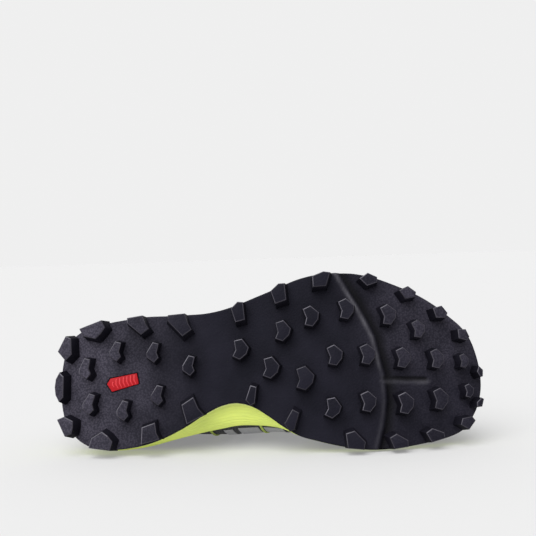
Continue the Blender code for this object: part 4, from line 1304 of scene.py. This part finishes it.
@dataclass
class Badge:
    """Red insert with a soft edge and plain ribs."""

    edge: float = 0.35 * MM
    relief: float = 0.22 * MM
    ribs: int = 7
    rib_pitch: float = 2.5 * MM
    rib_stroke: float = 0.55 * MM
    rib_half: float = 3.4 * MM
    first_half: float = 2.0 * MM
    slant: float = math.radians(-13)
    finish: Plain = Plain("badge_red", (0.44, 0.008, 0.014, 1), roughness=0.50, shine=0.15)
    raised: Plain = Plain("badge_raised", (0.68, 0.036, 0.046, 1), roughness=0.45, shine=0.25)

    def dress(self) -> list[bpy.types.Object]:
        """Build the badge and its ribs."""
        seat = LAST.plate_bottom(BADGE_PLACE[0] * SOLE_LENGTH) + BADGE_RECESS - GAP
        face = seat - BADGE_THICKNESS
        body = prism("badge", badge_outline(0), face, seat)
        apply_modifier(body, "BEVEL", width=self.edge, segments=3, limit_method="ANGLE")
        lay(body)
        dress(body, [self.finish.make()], "badge", ["outsole_badge"], 35)
        station, across = BADGE_PLACE
        centre = Vector((station * SOLE_LENGTH, across * BALL_WIDTH))
        along = Vector((math.cos(self.slant), math.sin(self.slant)))
        side = Vector((-along.y, along.x))
        chevron = ((-1.6, 0), (0.2, -1), (1.6, -1), (0.2, 0), (1.6, 1), (0.2, 1))
        ribs = []
        for i in range(self.ribs):
            middle = centre + along * (i - (self.ribs - 1) / 2 + 0.3) * self.rib_pitch
            half = self.rib_half if i else self.first_half
            corners = [middle + along * a * self.rib_stroke + side * b * half for a, b in chevron]
            ribs.append(prism("rib", corners, face - self.relief, face + 0.2 * MM))
        raised = join(ribs, "badge_ribs", 0.001 * MM)
        apply_modifier(raised, "BEVEL", width=0.12 * MM, segments=2, limit_method="ANGLE")
        lay(raised)
        return [body, dress(raised, [self.raised.make()], "badge", [], 35)]


@dataclass
class Midsole:
    """Lime foam with fine lines along its side."""

    stations: int = 200
    levels: int = 88
    line_count: int = 11
    line_depth: float = 0.16 * MM
    finish: Foam = Foam("midsole_foam")

    def wall(self, turn: float, side: Side, share: float) -> Vector:
        """Point of the foam's side at a share of its height."""
        swell = LAST.foam_swell(share) * FOAM_BULGE
        fade = ease(share * 8) * ease((1 - share) * 8)
        line = self.line_depth * math.cos(2 * math.pi * self.line_count * share) * fade
        flare = LAST.foam_flare(share)
        here = LAST.edge(turn, side, flare)
        step = 0.01
        near = LAST.edge(max(turn - step, 0), side, flare)
        far = LAST.edge(min(turn + step, math.pi), side, flare)
        along = (far - near).normalized()
        if turn < 0.002 or turn > math.pi - 0.002:
            outward = Vector((-1 if turn < 1 else 1, 0))
        else:
            outward = Vector((-along.y, along.x)) * side.value
        here = here + outward * (swell + line)
        x = min(max(here.x, 0), SOLE_LENGTH)
        return Vector((here.x, here.y, LAST.plate_bottom(x) + PLATE + GAP + LAST.foam_height(x) * share))

    def dress(self) -> list[bpy.types.Object]:
        """Build the foam and give it its finish."""
        us = spread(0, math.pi, self.stations)
        vs = spread(0, 1, self.levels)
        sides = [grid("foam", us, vs, lambda u, v, s=side: self.wall(u, s, v)) for side in Side]

        def cover(level: float) -> Callable[[float, float], Vector]:
            return lambda u, v: self.wall(u, Side.MEDIAL, level).lerp(self.wall(u, Side.LATERAL, level), v)

        faces = [grid("foam_face", us, spread(0, 1, 12), cover(level)) for level in (0.0, 1.0)]
        whole = join([*sides, *faces], "midsole_foam", 0.01 * MM)
        edit(whole, lambda: bpy.ops.mesh.normals_make_consistent(inside=False))
        self.mark(whole.data)
        lay(whole)
        return [dress(whole, [self.finish.make()], "midsole", ["midsole"], 50)]

    def mark(self, mesh: bpy.types.Mesh) -> None:
        """Keep how near each point lies to a rim of the foam, for the rims' painted highlight, and the lines
        along it, for painted shade in their hollows.
        """
        rim = mesh.attributes.new("rim", "FLOAT", "POINT")
        lines = mesh.attributes.new("lines", "FLOAT", "POINT")
        for vert, edge, line in zip(mesh.vertices, rim.data, lines.data):
            x = min(max(vert.co.x, 0), SOLE_LENGTH)
            share = (vert.co.z - LAST.plate_bottom(x) - PLATE - GAP) / LAST.foam_height(x)
            edge.value = max(dip(share / 0.07), dip((share - 0.97) / 0.06))
            line.value = 0.5 - 0.5 * math.cos(2 * math.pi * self.line_count * share)


# The upper and what lies on it

def side_of(way: float) -> Side:
    """Side of the shoe that a way round lies on."""
    return Side.MEDIAL if way >= 0 else Side.LATERAL


@lru_cache(maxsize=None)
def shell_high(way: float) -> float:
    """Share at which the shell ends, at the collar or the throat."""
    return LAST.upper_end(abs(way), side_of(way))


@lru_cache(maxsize=None)
def stay_high(way: float) -> float:
    """Share at which the eyestay ends, just below the shell's edge."""
    return LAST.upper_end(abs(way), side_of(way), 0.4 * MM)


@lru_cache(maxsize=None)
def stay_low(way: float) -> float:
    """Share at which the eyestay starts."""
    side = side_of(way)
    wide = LAST.upper_end(abs(way), side, EYESTAY_WIDTH)
    return min(max(wide, LAST.line_end(abs(way), side, LAST.eyestay)), stay_high(way))


@lru_cache(maxsize=None)
def cap_high(way: float) -> float:
    """Share at which the toe cap ends."""
    return LAST.line_end(abs(way), side_of(way), LAST.toe_cap)


@lru_cache(maxsize=None)
def counter_high(way: float) -> float:
    """Share at which the heel counter ends."""
    return LAST.line_end(abs(way), side_of(way), LAST.counter)


def skin_piece(name: str, ways: Sequence[float], rows: int, low: Callable[[float], float],
               high: Callable[[float], float], offset: float, lean: float = 0.0) -> bpy.types.Object:
    """Open skin that follows the upper between two lines.

    Args:
        name: The piece's name.
        ways: Ways round of its columns.
        rows: Number of its rows.
        low: Share from the sole to the ridge at which a column starts.
        high: Share at which it ends.
        offset: Distance outwards from the upper.
        lean: How far a column leans towards the toe on its way up, as a turn.

    Returns:
        The skin, its faces outwards.
    """
    def place(way: float, v: float) -> Vector:
        share = low(way) + max(high(way) - low(way), 0) * v
        return LAST.around(way + math.copysign(lean * v, way), share, offset)

    piece = grid(name, ways, spread(0, 1, rows), place)
    edit(piece, lambda: bpy.ops.mesh.remove_doubles(threshold=WELD),
         lambda: bpy.ops.mesh.dissolve_degenerate(threshold=WELD / 4))
    face_outwards(piece, Vector((0, THROAT_SHIFT, LAST.footbed(0) + 0.2 * INSTEP_HEIGHT)))
    return piece


def thicken(piece: bpy.types.Object, thickness: float, inner: int = 0, edge: float = 0.0) -> None:
    """Give a skin its thickness inwards and soften its rim.

    Args:
        piece: The skin, its faces outwards.
        thickness: Its thickness.
        inner: How much the inner faces' material number is raised.
        edge: Width of the rim's rounding.
    """
    apply_modifier(piece, "SOLIDIFY", thickness=thickness, offset=-1.0, use_even_offset=False,
                   material_offset=inner)
    if edge:
        apply_modifier(piece, "BEVEL", width=edge, segments=2, limit_method="ANGLE",
                       angle_limit=math.radians(55))


def tube(name: str, us: Sequence[float], count: int,
         place: Callable[[float, float], Vector]) -> bpy.types.Object:
    """Closed body whose sections are closed loops, its ends filled.

    Args:
        name: The piece's name.
        us: Values along the body.
        count: Points round a section.
        place: Point from a value along the body and a share round its section.

    Returns:
        The body.
    """
    piece = grid(name, us, spread(0, 1, count), place)
    edit(piece, lambda: bpy.ops.mesh.remove_doubles(threshold=0.01 * MM),
         lambda: bpy.ops.mesh.fill_holes(sides=0),
         lambda: bpy.ops.mesh.normals_make_consistent(inside=False))
    return piece


def eyelet_stations() -> list[float]:
    """Places of the eyelet pairs along the throat."""
    return spread(EYELET_FIRST, EYELET_LAST, EYELET_PAIRS - 1)


def eyelet_place(x: float, side: Side) -> Vector:
    """Plan place of an eyelet."""
    return Vector((x, THROAT_SHIFT + side.value * (LAST.throat_half(x) + EYELET_SETBACK)))


def punch(piece: bpy.types.Object, radius: float) -> None:
    """Punch the eyelets through a piece, square to its face."""
    tools = []
    for x in eyelet_stations():
        for side in Side:
            spot = eyelet_place(x, side)
            turn, over = LAST.over_plan(spot.x, spot.y)
            centre = LAST.skin(turn, over, 0)
            outward = LAST.skin(turn, over, 5 * MM) - centre
            deselect()
            bpy.ops.mesh.primitive_cylinder_add(
                vertices=24, radius=radius, depth=12 * MM, location=centre,
                rotation=outward.to_track_quat("Z", "Y").to_euler())
            tools.append(bpy.context.object)
    deselect()
    for tool in tools:
        tool.select_set(True)
    bpy.context.view_layer.objects.active = tools[0]
    bpy.ops.object.join()
    apply_modifier(piece, "BOOLEAN", object=tools[0], operation="DIFFERENCE", solver="EXACT")
    bpy.data.objects.remove(tools[0])


@dataclass
class Upper:
    """Thin woven shell, open at the collar, at the throat and underneath."""

    columns: int = 300
    rows: int = 44
    hole: float = 2.1 * MM
    finish: Knit = Knit("upper_mesh")
    lining: Knit = Knit(
        "lining_cloth", (0.010, 0.010, 0.013, 1), (0.030, 0.030, 0.036, 1),
        pitch=0.7, depth=0.12 * MM, roughness=0.9, sheen=0.2)

    def ways(self) -> list[float]:
        """Ways round, closer where the throat's round end turns."""
        end = turn_at(THROAT_END)
        near = [*crowd(end, 12), end + 0.0005]
        return sorted([*spread(-math.pi, math.pi, self.columns), *near, *(-way for way in near)])

    def dress(self) -> list[bpy.types.Object]:
        """Build the shell."""
        shell = skin_piece("upper_shell", self.ways(), self.rows, lambda way: 0.0, shell_high, 0.0)
        thicken(shell, WALL, inner=1)
        materials = [self.finish.make(), self.lining.make()]
        give_materials(shell, materials)
        punch(shell, self.hole)
        lay(shell)
        return [dress(shell, materials, "upper", ["upper"], 50)]


@dataclass
class Overlays:
    """Toe cap, heel counter and eyestay, welded on the upper as films."""

    columns: int = 130
    rows: int = 18
    cap_start: float = 0.715
    counter_end: float = 0.305
    rim: float = 0.28 * MM
    hole: float = 2.2 * MM
    black: Film = Film("black_film", (0.0095, 0.0095, 0.0125, 1), (0.024, 0.024, 0.030, 1))
    cap: Film = Film(
        "toe_film", (0.0125, 0.0120, 0.0160, 1), (0.034, 0.033, 0.040, 1),
        roughness=0.5, pitch=1.1, depth=0.10 * MM, pinholes=6.0)
    heel: Film = Film(
        "heel_film", (0.0090, 0.0090, 0.0120, 1), (0.028, 0.028, 0.034, 1),
        roughness=0.38, pitch=2.0, depth=0.05 * MM)

    def finish(self, piece: bpy.types.Object, film: Film, slot: str) -> bpy.types.Object:
        """Thicken an overlay, lay it down and give it its film."""
        thicken(piece, OVERLAY, edge=self.rim)
        lay(piece)
        return dress(piece, [film.make()], slot, [slot], 35)

    def toe_cap(self) -> bpy.types.Object:
        """Overlay round the toe, from one side to the other."""
        reach = math.pi - turn_of(self.cap_start)
        from_toe = [way for way in spread(-reach, reach, self.columns) if way != 0]
        ways = [math.copysign(math.pi - abs(way), way) for way in from_toe]
        ways.insert(len(ways) // 2, math.pi)
        piece = skin_piece("toe_cap_film", ways, self.rows, lambda way: FOOT_SHARE, cap_high, FILM_LIFT)
        return self.finish(piece, self.cap, "toe_cap")

    def heel_counter(self) -> bpy.types.Object:
        """Overlay round the heel."""
        reach = turn_of(self.counter_end)
        ways = spread(-reach, reach, self.columns)
        piece = skin_piece("heel_film", ways, self.rows, lambda way: FOOT_SHARE, counter_high, FILM_LIFT)
        return self.finish(piece, self.heel, "heel_counter")

    def eyestay(self) -> bpy.types.Object:
        """Overlay round the throat with its eyelets."""
        start = turn_at(THROAT_START - EYESTAY_REACH)
        end = turn_at(THROAT_END + EYESTAY_WIDTH)
        ways = [*spread(start, end, self.columns), *crowd(end, 10), *crowd(turn_at(THROAT_END), 10)]
        halves = []
        for side in Side:
            signed = sorted(side.value * way for way in ways)
            halves.append(skin_piece("eyestay_film", signed, self.rows, stay_low, stay_high, FILM_LIFT))
        piece = join(halves, "eyestay_film")
        thicken(piece, OVERLAY, edge=self.rim)
        punch(piece, self.hole)
        lay(piece)
        return dress(piece, [self.black.make()], "eyestay", ["eyestay"], 35)

    def dress(self) -> list[bpy.types.Object]:
        """Build the three overlays."""
        return [self.toe_cap(), self.heel_counter(), self.eyestay()]


@dataclass
class Stitches:
    """Rows of thread along the overlays' edges and under the collar, from one stitch."""

    pitch: float = 3.6 * MM
    length: float = 2.5 * MM
    radius: float = 0.30 * MM
    inset: float = 2.0 * MM
    collar_inset: float = 3.2 * MM
    toe_start: float = 0.76
    heel_end: float = 0.27
    thread: Woven = Woven(
        "stitch_thread", (0.070, 0.070, 0.082, 1), (0.022, 0.022, 0.027, 1), pitch=0.4, depth=0.08 * MM)

    def stitch(self) -> bpy.types.Object:
        """One stitch along x that dips into the cloth at both ends."""
        def place(share: float, turn: float) -> Vector:
            angle = 2 * math.pi * turn
            dive = (2 * share - 1) ** 4
            thin = 1 - 0.35 * dive
            y = self.radius * math.cos(angle) * thin
            z = self.radius * math.sin(angle) * thin + self.radius * (0.3 - 1.5 * dive)
            return Vector(((share - 0.5) * self.length, y, z))

        return tube("stitch", spread(0, 1, 6), 8, place)

    def row(self, ways: Sequence[float], edge: Callable[[float], float], shift: float,
            offset: float) -> list[Matrix]:
        """Places of the stitches beside a line.

        Args:
            ways: Ways round, in order.
            edge: Share from the sole to the ridge that the line has at a way.
            shift: Height of the stitches over the line.
            offset: Distance outwards of the cloth that is sewn.

        Returns:
            A matrix for each stitch.
        """
        shares = [edge(way) + shift / LAST.rise_of(abs(way), edge(way)) for way in ways]
        points = [LAST.around(way, share, offset) for way, share in zip(ways, shares)]
        tops = [LAST.around(way, share, offset + MM) for way, share in zip(ways, shares)]
        places = []
        walked = 0.0
        for a, b, top in zip(points, points[1:], tops):
            step = (b - a).length
            walked += step
            if walked < self.pitch or step < 0.05 * MM:
                continue
            walked = 0.0
            along = (b - a).normalized()
            side = (top - a).normalized().cross(along).normalized()
            turn = Matrix((along, side, along.cross(side))).transposed().to_4x4()
            places.append(Matrix.Translation(a) @ turn)
        return places

    def places(self) -> list[Matrix]:
        """Places of all the stitches: heel counter, collar, then toe cap and eyestay on each side."""
        heel = turn_of(self.heel_end)
        toe = turn_of(self.toe_start)
        collar = turn_at(THROAT_START - EYESTAY_REACH)
        stay = turn_at(THROAT_END + EYESTAY_WIDTH * 0.8)
        found = self.row(spread(-heel, heel, 900), counter_high, -self.inset, FILM_LIFT)
        found += self.row(spread(-collar, collar, 1200), shell_high, -self.collar_inset, 0)
        for side in Side:
            toe_ways = [side.value * way for way in spread(toe, math.pi, 400)]
            stay_ways = [side.value * way for way in spread(collar + 0.05, stay, 500)]
            found += self.row(toe_ways, cap_high, -self.inset, FILM_LIFT)
            found += self.row(stay_ways, stay_low, self.inset, FILM_LIFT)
        return found

    def dress(self) -> list[bpy.types.Object]:
        """Build one stitch and copy it along all the rows."""
        model = self.stitch()
        copies = []
        for matrix in self.places():
            copy = bpy.data.objects.new("stitch", model.data)
            bpy.context.scene.collection.objects.link(copy)
            copy.matrix_world = matrix
            copies.append(copy)
        deselect()
        for copy in copies:
            copy.select_set(True)
        bpy.context.view_layer.objects.active = copies[0]
        bpy.ops.object.make_single_user(object=True, obdata=True)
        bpy.ops.object.transform_apply(location=True, rotation=True, scale=True)
        bpy.ops.object.join()
        rows = copies[0]
        rows.name = "stitch_rows"
        bpy.data.objects.remove(model)
        lay(rows)
        return [dress(rows, [self.thread.make()], "upper", [], 60)]


@dataclass
class SidePanels:
    """Grey film panels and lime cords along both sides of the upper."""

    film: float = 0.35 * MM
    cord: float = 1.0 * MM
    cord_share: float = 0.0062
    lift: float = 0.1 * MM
    panel: Film = Film(
        "grey_film", (0.400, 0.400, 0.420, 1), (0.250, 0.250, 0.265, 1),
        roughness=0.45, pitch=1.3, depth=0.10 * MM)
    yarn: Woven = Woven("cord_yarn", pitch=0.7)

    @staticmethod
    def lean(station: float, lean: float) -> float:
        """Lean of a column as a turn."""
        return turn_of(station + lean) - turn_of(station)

    def dress(self) -> list[bpy.types.Object]:
        """Build panels and cords on both sides."""
        panels = []
        cords = []
        for side in Side:
            for station, length, lean, low, high in PANELS:
                turns = spread(turn_of(station), turn_of(station + length), 10)
                ways = sorted(side.value * turn for turn in turns)
                panels.append(skin_piece(
                    "panel", ways, 26, lambda way, a=low: a, lambda way, b=high: b,
                    self.lift + self.film, self.lean(station, lean)))
            for station, lean, high in CORDS:
                turns = spread(turn_of(station), turn_of(station + self.cord_share), 4)
                ways = sorted(side.value * turn for turn in turns)
                cords.append(skin_piece(
                    "cord", ways, 40, lambda way: FOOT_SHARE, lambda way, b=high: b,
                    self.lift + self.cord, self.lean(station, lean)))
        film = join(panels, "film_panels", 0.001 * MM)
        thicken(film, self.film, edge=0.12 * MM)
        yarn = join(cords, "lime_cords", 0.001 * MM)
        thicken(yarn, self.cord, edge=0.4 * MM)
        for piece in (film, yarn):
            lay(piece)
        return [
            dress(film, [self.panel.make()], "upper", [], 35),
            dress(yarn, [self.yarn.make()], "laces", [], 60),
        ]


@dataclass
class Collar:
    """Padded lining that rolls over the collar's edge."""

    columns: int = 170
    around: int = 44
    fade: float = 0.16
    back: float = 2.2 * MM
    finish: Knit = Knit(
        "collar_cloth", (0.012, 0.012, 0.016, 1), (0.040, 0.040, 0.048, 1),
        pitch=0.85, depth=0.16 * MM, roughness=0.9, sheen=0.25)

    def dress(self) -> list[bpy.types.Object]:
        """Build the padded ring."""
        keys = list(range(len(COLLAR_PROFILE)))
        above = Curve(keys, [row[0] for row in COLLAR_PROFILE])
        inward = Curve(keys, [row[1] for row in COLLAR_PROFILE])
        reach = turn_at(THROAT_START)

        def place(way: float, share: float) -> Vector:
            turn = abs(way)
            end = shell_high(way)
            thick = ease((reach - turn) / self.fade) * 0.85 + 0.15
            key = share * keys[-1]
            step = above(key) * (0.35 + 0.65 * thick) / LAST.rise_of(turn, end)
            depth = inward(key)
            if depth > self.back:
                depth = self.back + (depth - self.back) * thick
            return LAST.around(way, end + step, -depth)

        piece = tube("padded_collar", spread(-reach, reach, self.columns), self.around, place)
        lay(piece)
        dress(piece, [self.finish.make()], "upper", [], 60)
        return [piece]


@dataclass
class Tongue:
    """Padded tongue with cross channels, under the laces."""

    stations: int = 150
    around: int = 64
    pad: float = 2.2 * MM
    channel: float = 13 * MM
    finish: Knit = Knit(
        "tongue_cloth", (0.008, 0.008, 0.010, 1), (0.056, 0.056, 0.066, 1),
        pitch=1.8, depth=0.3 * MM, roughness=0.88, sheen=0.2)

    def dress(self) -> list[bpy.types.Object]:
        """Build the tongue."""
        start = TONGUE_START + 3 * MM
        end = THROAT_END + TONGUE_OVERLAP - 2 * MM
        middle = -(WALL + GAP + self.pad)

        def place(x: float, share: float) -> Vector:
            along = (x - start) / (end - start)
            tip = math.sqrt(max(0.02, 1 - max(0, 1 - along / 0.09) ** 2)) * math.sqrt(
                max(0.02, 1 - max(0, (along - 0.95) / 0.05) ** 2))
            taper = (0.90 + 0.10 * ease(along / 0.2)) * (1 - 0.36 * ease((along - 0.3) / 0.7))
            half = (TONGUE_WIDTH / 2 - 1 * MM) * taper
            across, thick = oval(share, 0.7, 0.8)
            swell = 0.74 + 0.26 * abs(math.sin(math.pi * (x - start) / self.channel)) ** 0.6
            y = THROAT_SHIFT + half * across * (0.86 + 0.14 * tip)
            turn, over = LAST.over_plan(x, y)
            return LAST.lifted(turn, over, middle + self.pad * thick * swell * tip)

        piece = tube("padded_tongue", spread(start, end, self.stations), self.around, place)
        lay(piece)
        dress(piece, [self.finish.make()], "tongue", ["tongue"], 60)
        return [piece]


@dataclass
class Laces:
    """Flat woven laces that cross over and under and dip into their eyelets."""

    steps: int = 60
    around: int = 16
    thickness: float = 1.3 * MM
    weave: float = 0.75 * MM
    reach: float = 0.10
    sink: float = 3.6 * MM
    finish: Woven = Woven("lace_yarn")

    def run(self, start: Vector, end: Vector, lift: float) -> bpy.types.Object:
        """One run of lace between two eyelets.

        Args:
            start: Plan place of the eyelet it comes out of.
            end: Plan place of the eyelet it goes into.
            lift: How far it rises at its middle, over the other run.

        Returns:
            The run.
        """
        along = (end - start).normalized()
        side = Vector((-along.y, along.x))
        base = FILM_LIFT + GAP + self.thickness / 2 + 0.1 * MM

        def place(share: float, turn: float) -> Vector:
            wide, thick = oval(turn, 0.55, 0.7)
            dive = 1 - ease(min(share, 1 - share) / self.reach)
            narrow = 1 - 0.42 * dive
            plan = start.lerp(end, share) + side * wide * narrow * LACE_WIDTH / 2
            height = base + lift * math.sin(math.pi * share) ** 2 - self.sink * dive ** 1.6
            return LAST.skin(*LAST.over_plan(plan.x, plan.y), height + thick * self.thickness / 2)

        return tube("lace_run", spread(0, 1, self.steps), self.around, place)

    def dress(self) -> list[bpy.types.Object]:
        """Build all the crossings and the bar over the toe end."""
        stations = eyelet_stations()
        last = stations[-1]
        runs = [self.run(eyelet_place(last, Side.MEDIAL), eyelet_place(last, Side.LATERAL), 0.0)]
        for i, (near, far) in enumerate(zip(stations, stations[1:])):
            for j, side in enumerate(Side):
                other = Side.LATERAL if side is Side.MEDIAL else Side.MEDIAL
                lift = self.weave if (i + j) % 2 else -self.weave * 0.4
                runs.append(self.run(eyelet_place(near, side), eyelet_place(far, other), lift))
        whole = join(runs, "flat_laces", 0.0005 * MM)
        lay(whole)
        return [dress(whole, [self.finish.make()], "laces", ["laces"], 60)]


@dataclass
class Insole:
    """Cushioned footbed with a rim that curls up at its edge."""

    stations: int = 120
    around: int = 72
    curl: float = 2.0 * MM
    finish: Knit = Knit(
        "insole_cloth", (0.012, 0.012, 0.016, 1), (0.036, 0.036, 0.044, 1),
        pitch=0.8, depth=0.14 * MM, roughness=0.9, sheen=0.2)

    def dress(self) -> list[bpy.types.Object]:
        """Build the footbed."""
        inset = -(WALL + 0.9 * MM)

        def place(turn: float, share: float) -> Vector:
            wide, thick = oval(share, 0.6, 0.45)
            medial = LAST.lifted(turn, 0.0, inset)
            lateral = LAST.lifted(turn, 2.0, inset)
            plan = medial.lerp(lateral, 0.5 + 0.5 * wide)
            rim = self.curl * max(0, (abs(wide) - 0.72) / 0.28) ** 2
            height = INSOLE / 2 + INSOLE / 2 * thick + (rim if thick > 0 else 0)
            return Vector((plan.x, plan.y, LAST.footbed(plan.x) + GAP + height))

        piece = tube("cushioned_insole", spread(0, math.pi, self.stations), self.around, place)
        lay(piece)
        dress(piece, [self.finish.make()], "insole", ["insole"], 60)
        return [piece]


# Light, floor and camera

@dataclass
class Studio:
    """Pale floor, soft light and the photograph's camera."""

    image: int = 536
    scale: float = 0.657 * MM
    distance: float = 550 * MM
    neutral: tuple[float, float] = (320, 430)
    aim: tuple[float, float] = (268, 361)
    neutral_station: float = 177.44 * MM
    neutral_medial: float = 38.1 * MM
    floor_size: float = 400.0
    backdrop: float = 0.865
    gloom: float = 0.34
    dark_side: tuple[float, float, float] = (0.45, -0.80, -0.10)
    paper: float = 0.455
    glow: float = 0.234
    key: float = 2.9
    softness: float = 60.0
    sun_from: tuple[float, float, float] = (-0.24, -0.60, 0.80)

    def floor(self) -> None:
        """Large plain floor under the shoe."""
        deselect()
        bpy.ops.mesh.primitive_plane_add(size=self.floor_size, location=(0, 0, 0))
        plane = bpy.context.object
        plane.name = "floor"
        paper = Painter("floor_paper")
        paper.set(
            Base_Color=(self.paper, self.paper, self.paper, 1),
            Roughness=1.0,
            Specular_IOR_Level=0.0,
            Emission_Color=(1, 1, 1, 1),
            Emission_Strength=self.glow,
        )
        plane.data.materials.append(paper.material)

    def world(self) -> None:
        """Pale surroundings that grow dark behind the camera."""
        world = bpy.data.worlds.new("studio")
        bpy.context.scene.world = world
        world.use_nodes = True
        tree = world.node_tree
        back = tree.nodes["Background"]
        way = tree.nodes.new("ShaderNodeTexCoord")
        toward = tree.nodes.new("ShaderNodeVectorMath")
        toward.operation = "DOT_PRODUCT"
        toward.inputs[1].default_value = Vector(self.dark_side).normalized()
        fall = tree.nodes.new("ShaderNodeMapRange")
        limits = {"From Min": -0.25, "From Max": 0.70, "To Min": self.backdrop, "To Max": self.gloom}
        for key, value in limits.items():
            fall.inputs[key].default_value = value
        tree.links.new(way.outputs["Generated"], toward.inputs[0])
        tree.links.new(toward.outputs["Value"], fall.inputs["Value"])
        tree.links.new(fall.outputs["Result"], back.inputs["Color"])
        back.inputs["Strength"].default_value = 1.0

    def sun(self) -> None:
        """Broad light from the upper left, in front of the tread."""
        light = bpy.data.lights.new("key", "SUN")
        light.energy = self.key
        light.angle = math.radians(self.softness)
        lamp = bpy.data.objects.new("key", light)
        lamp.rotation_euler = Vector(self.sun_from).to_track_quat("Z", "Y").to_euler()
        bpy.context.scene.collection.objects.link(lamp)

    def camera(self) -> None:
        """Camera that faces the tread from the point where the studs' walls are seen edge on."""
        foot = Vector((self.neutral_station, self.neutral_medial, 0))
        eye = foot + Vector((0, 0, -self.distance))
        right = (self.aim[0] - self.neutral[0]) * self.scale
        down = (self.aim[1] - self.neutral[1]) * self.scale
        target = foot + Vector((right, down, 0))
        forward = (target - eye).normalized()
        side = forward.cross(Vector((0, -1, 0))).normalized()
        up = side.cross(forward)
        data = bpy.data.cameras.new("camera")
        data.sensor_width = 36.0
        data.lens = data.sensor_width * (target - eye).length / (self.image * self.scale)
        data.shift_y = (self.aim[1] - self.image / 2) / self.image
        data.clip_start = 10 * MM
        turn = Matrix((side, up, -forward)).transposed().to_4x4()
        camera = bpy.data.objects.new("camera", data)
        camera.matrix_world = POSE.matrix @ Matrix.Translation(eye) @ turn
        bpy.context.scene.collection.objects.link(camera)
        bpy.context.scene.camera = camera

    def build(self) -> None:
        """Everything that isn't the shoe."""
        self.floor()
        self.world()
        self.sun()
        self.camera()
        view = bpy.context.scene.view_settings
        view.view_transform = "Standard"
        view.look = "None"


def save_sizes() -> None:
    """Bring the view layer up to date."""
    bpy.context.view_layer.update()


def main() -> None:
    """Build the shoe's sub-assemblies in order, then the studio."""
    logging.basicConfig(level=logging.INFO, format="%(name)s: %(message)s")
    LOG.info("pose fits within %.4f mm", POSE.error / MM)
    assemblies = (
        Outsole(), Badge(), Midsole(), Insole(), Upper(), Overlays(), Stitches(), SidePanels(), Collar(),
        Tongue(), Laces(),
    )
    for assembly in assemblies:
        for piece in assembly.dress():
            LOG.info("%s: %d faces", piece.name, len(piece.data.polygons))
    Studio().build()
    save_sizes()


if __name__ == "__main__":
    main()
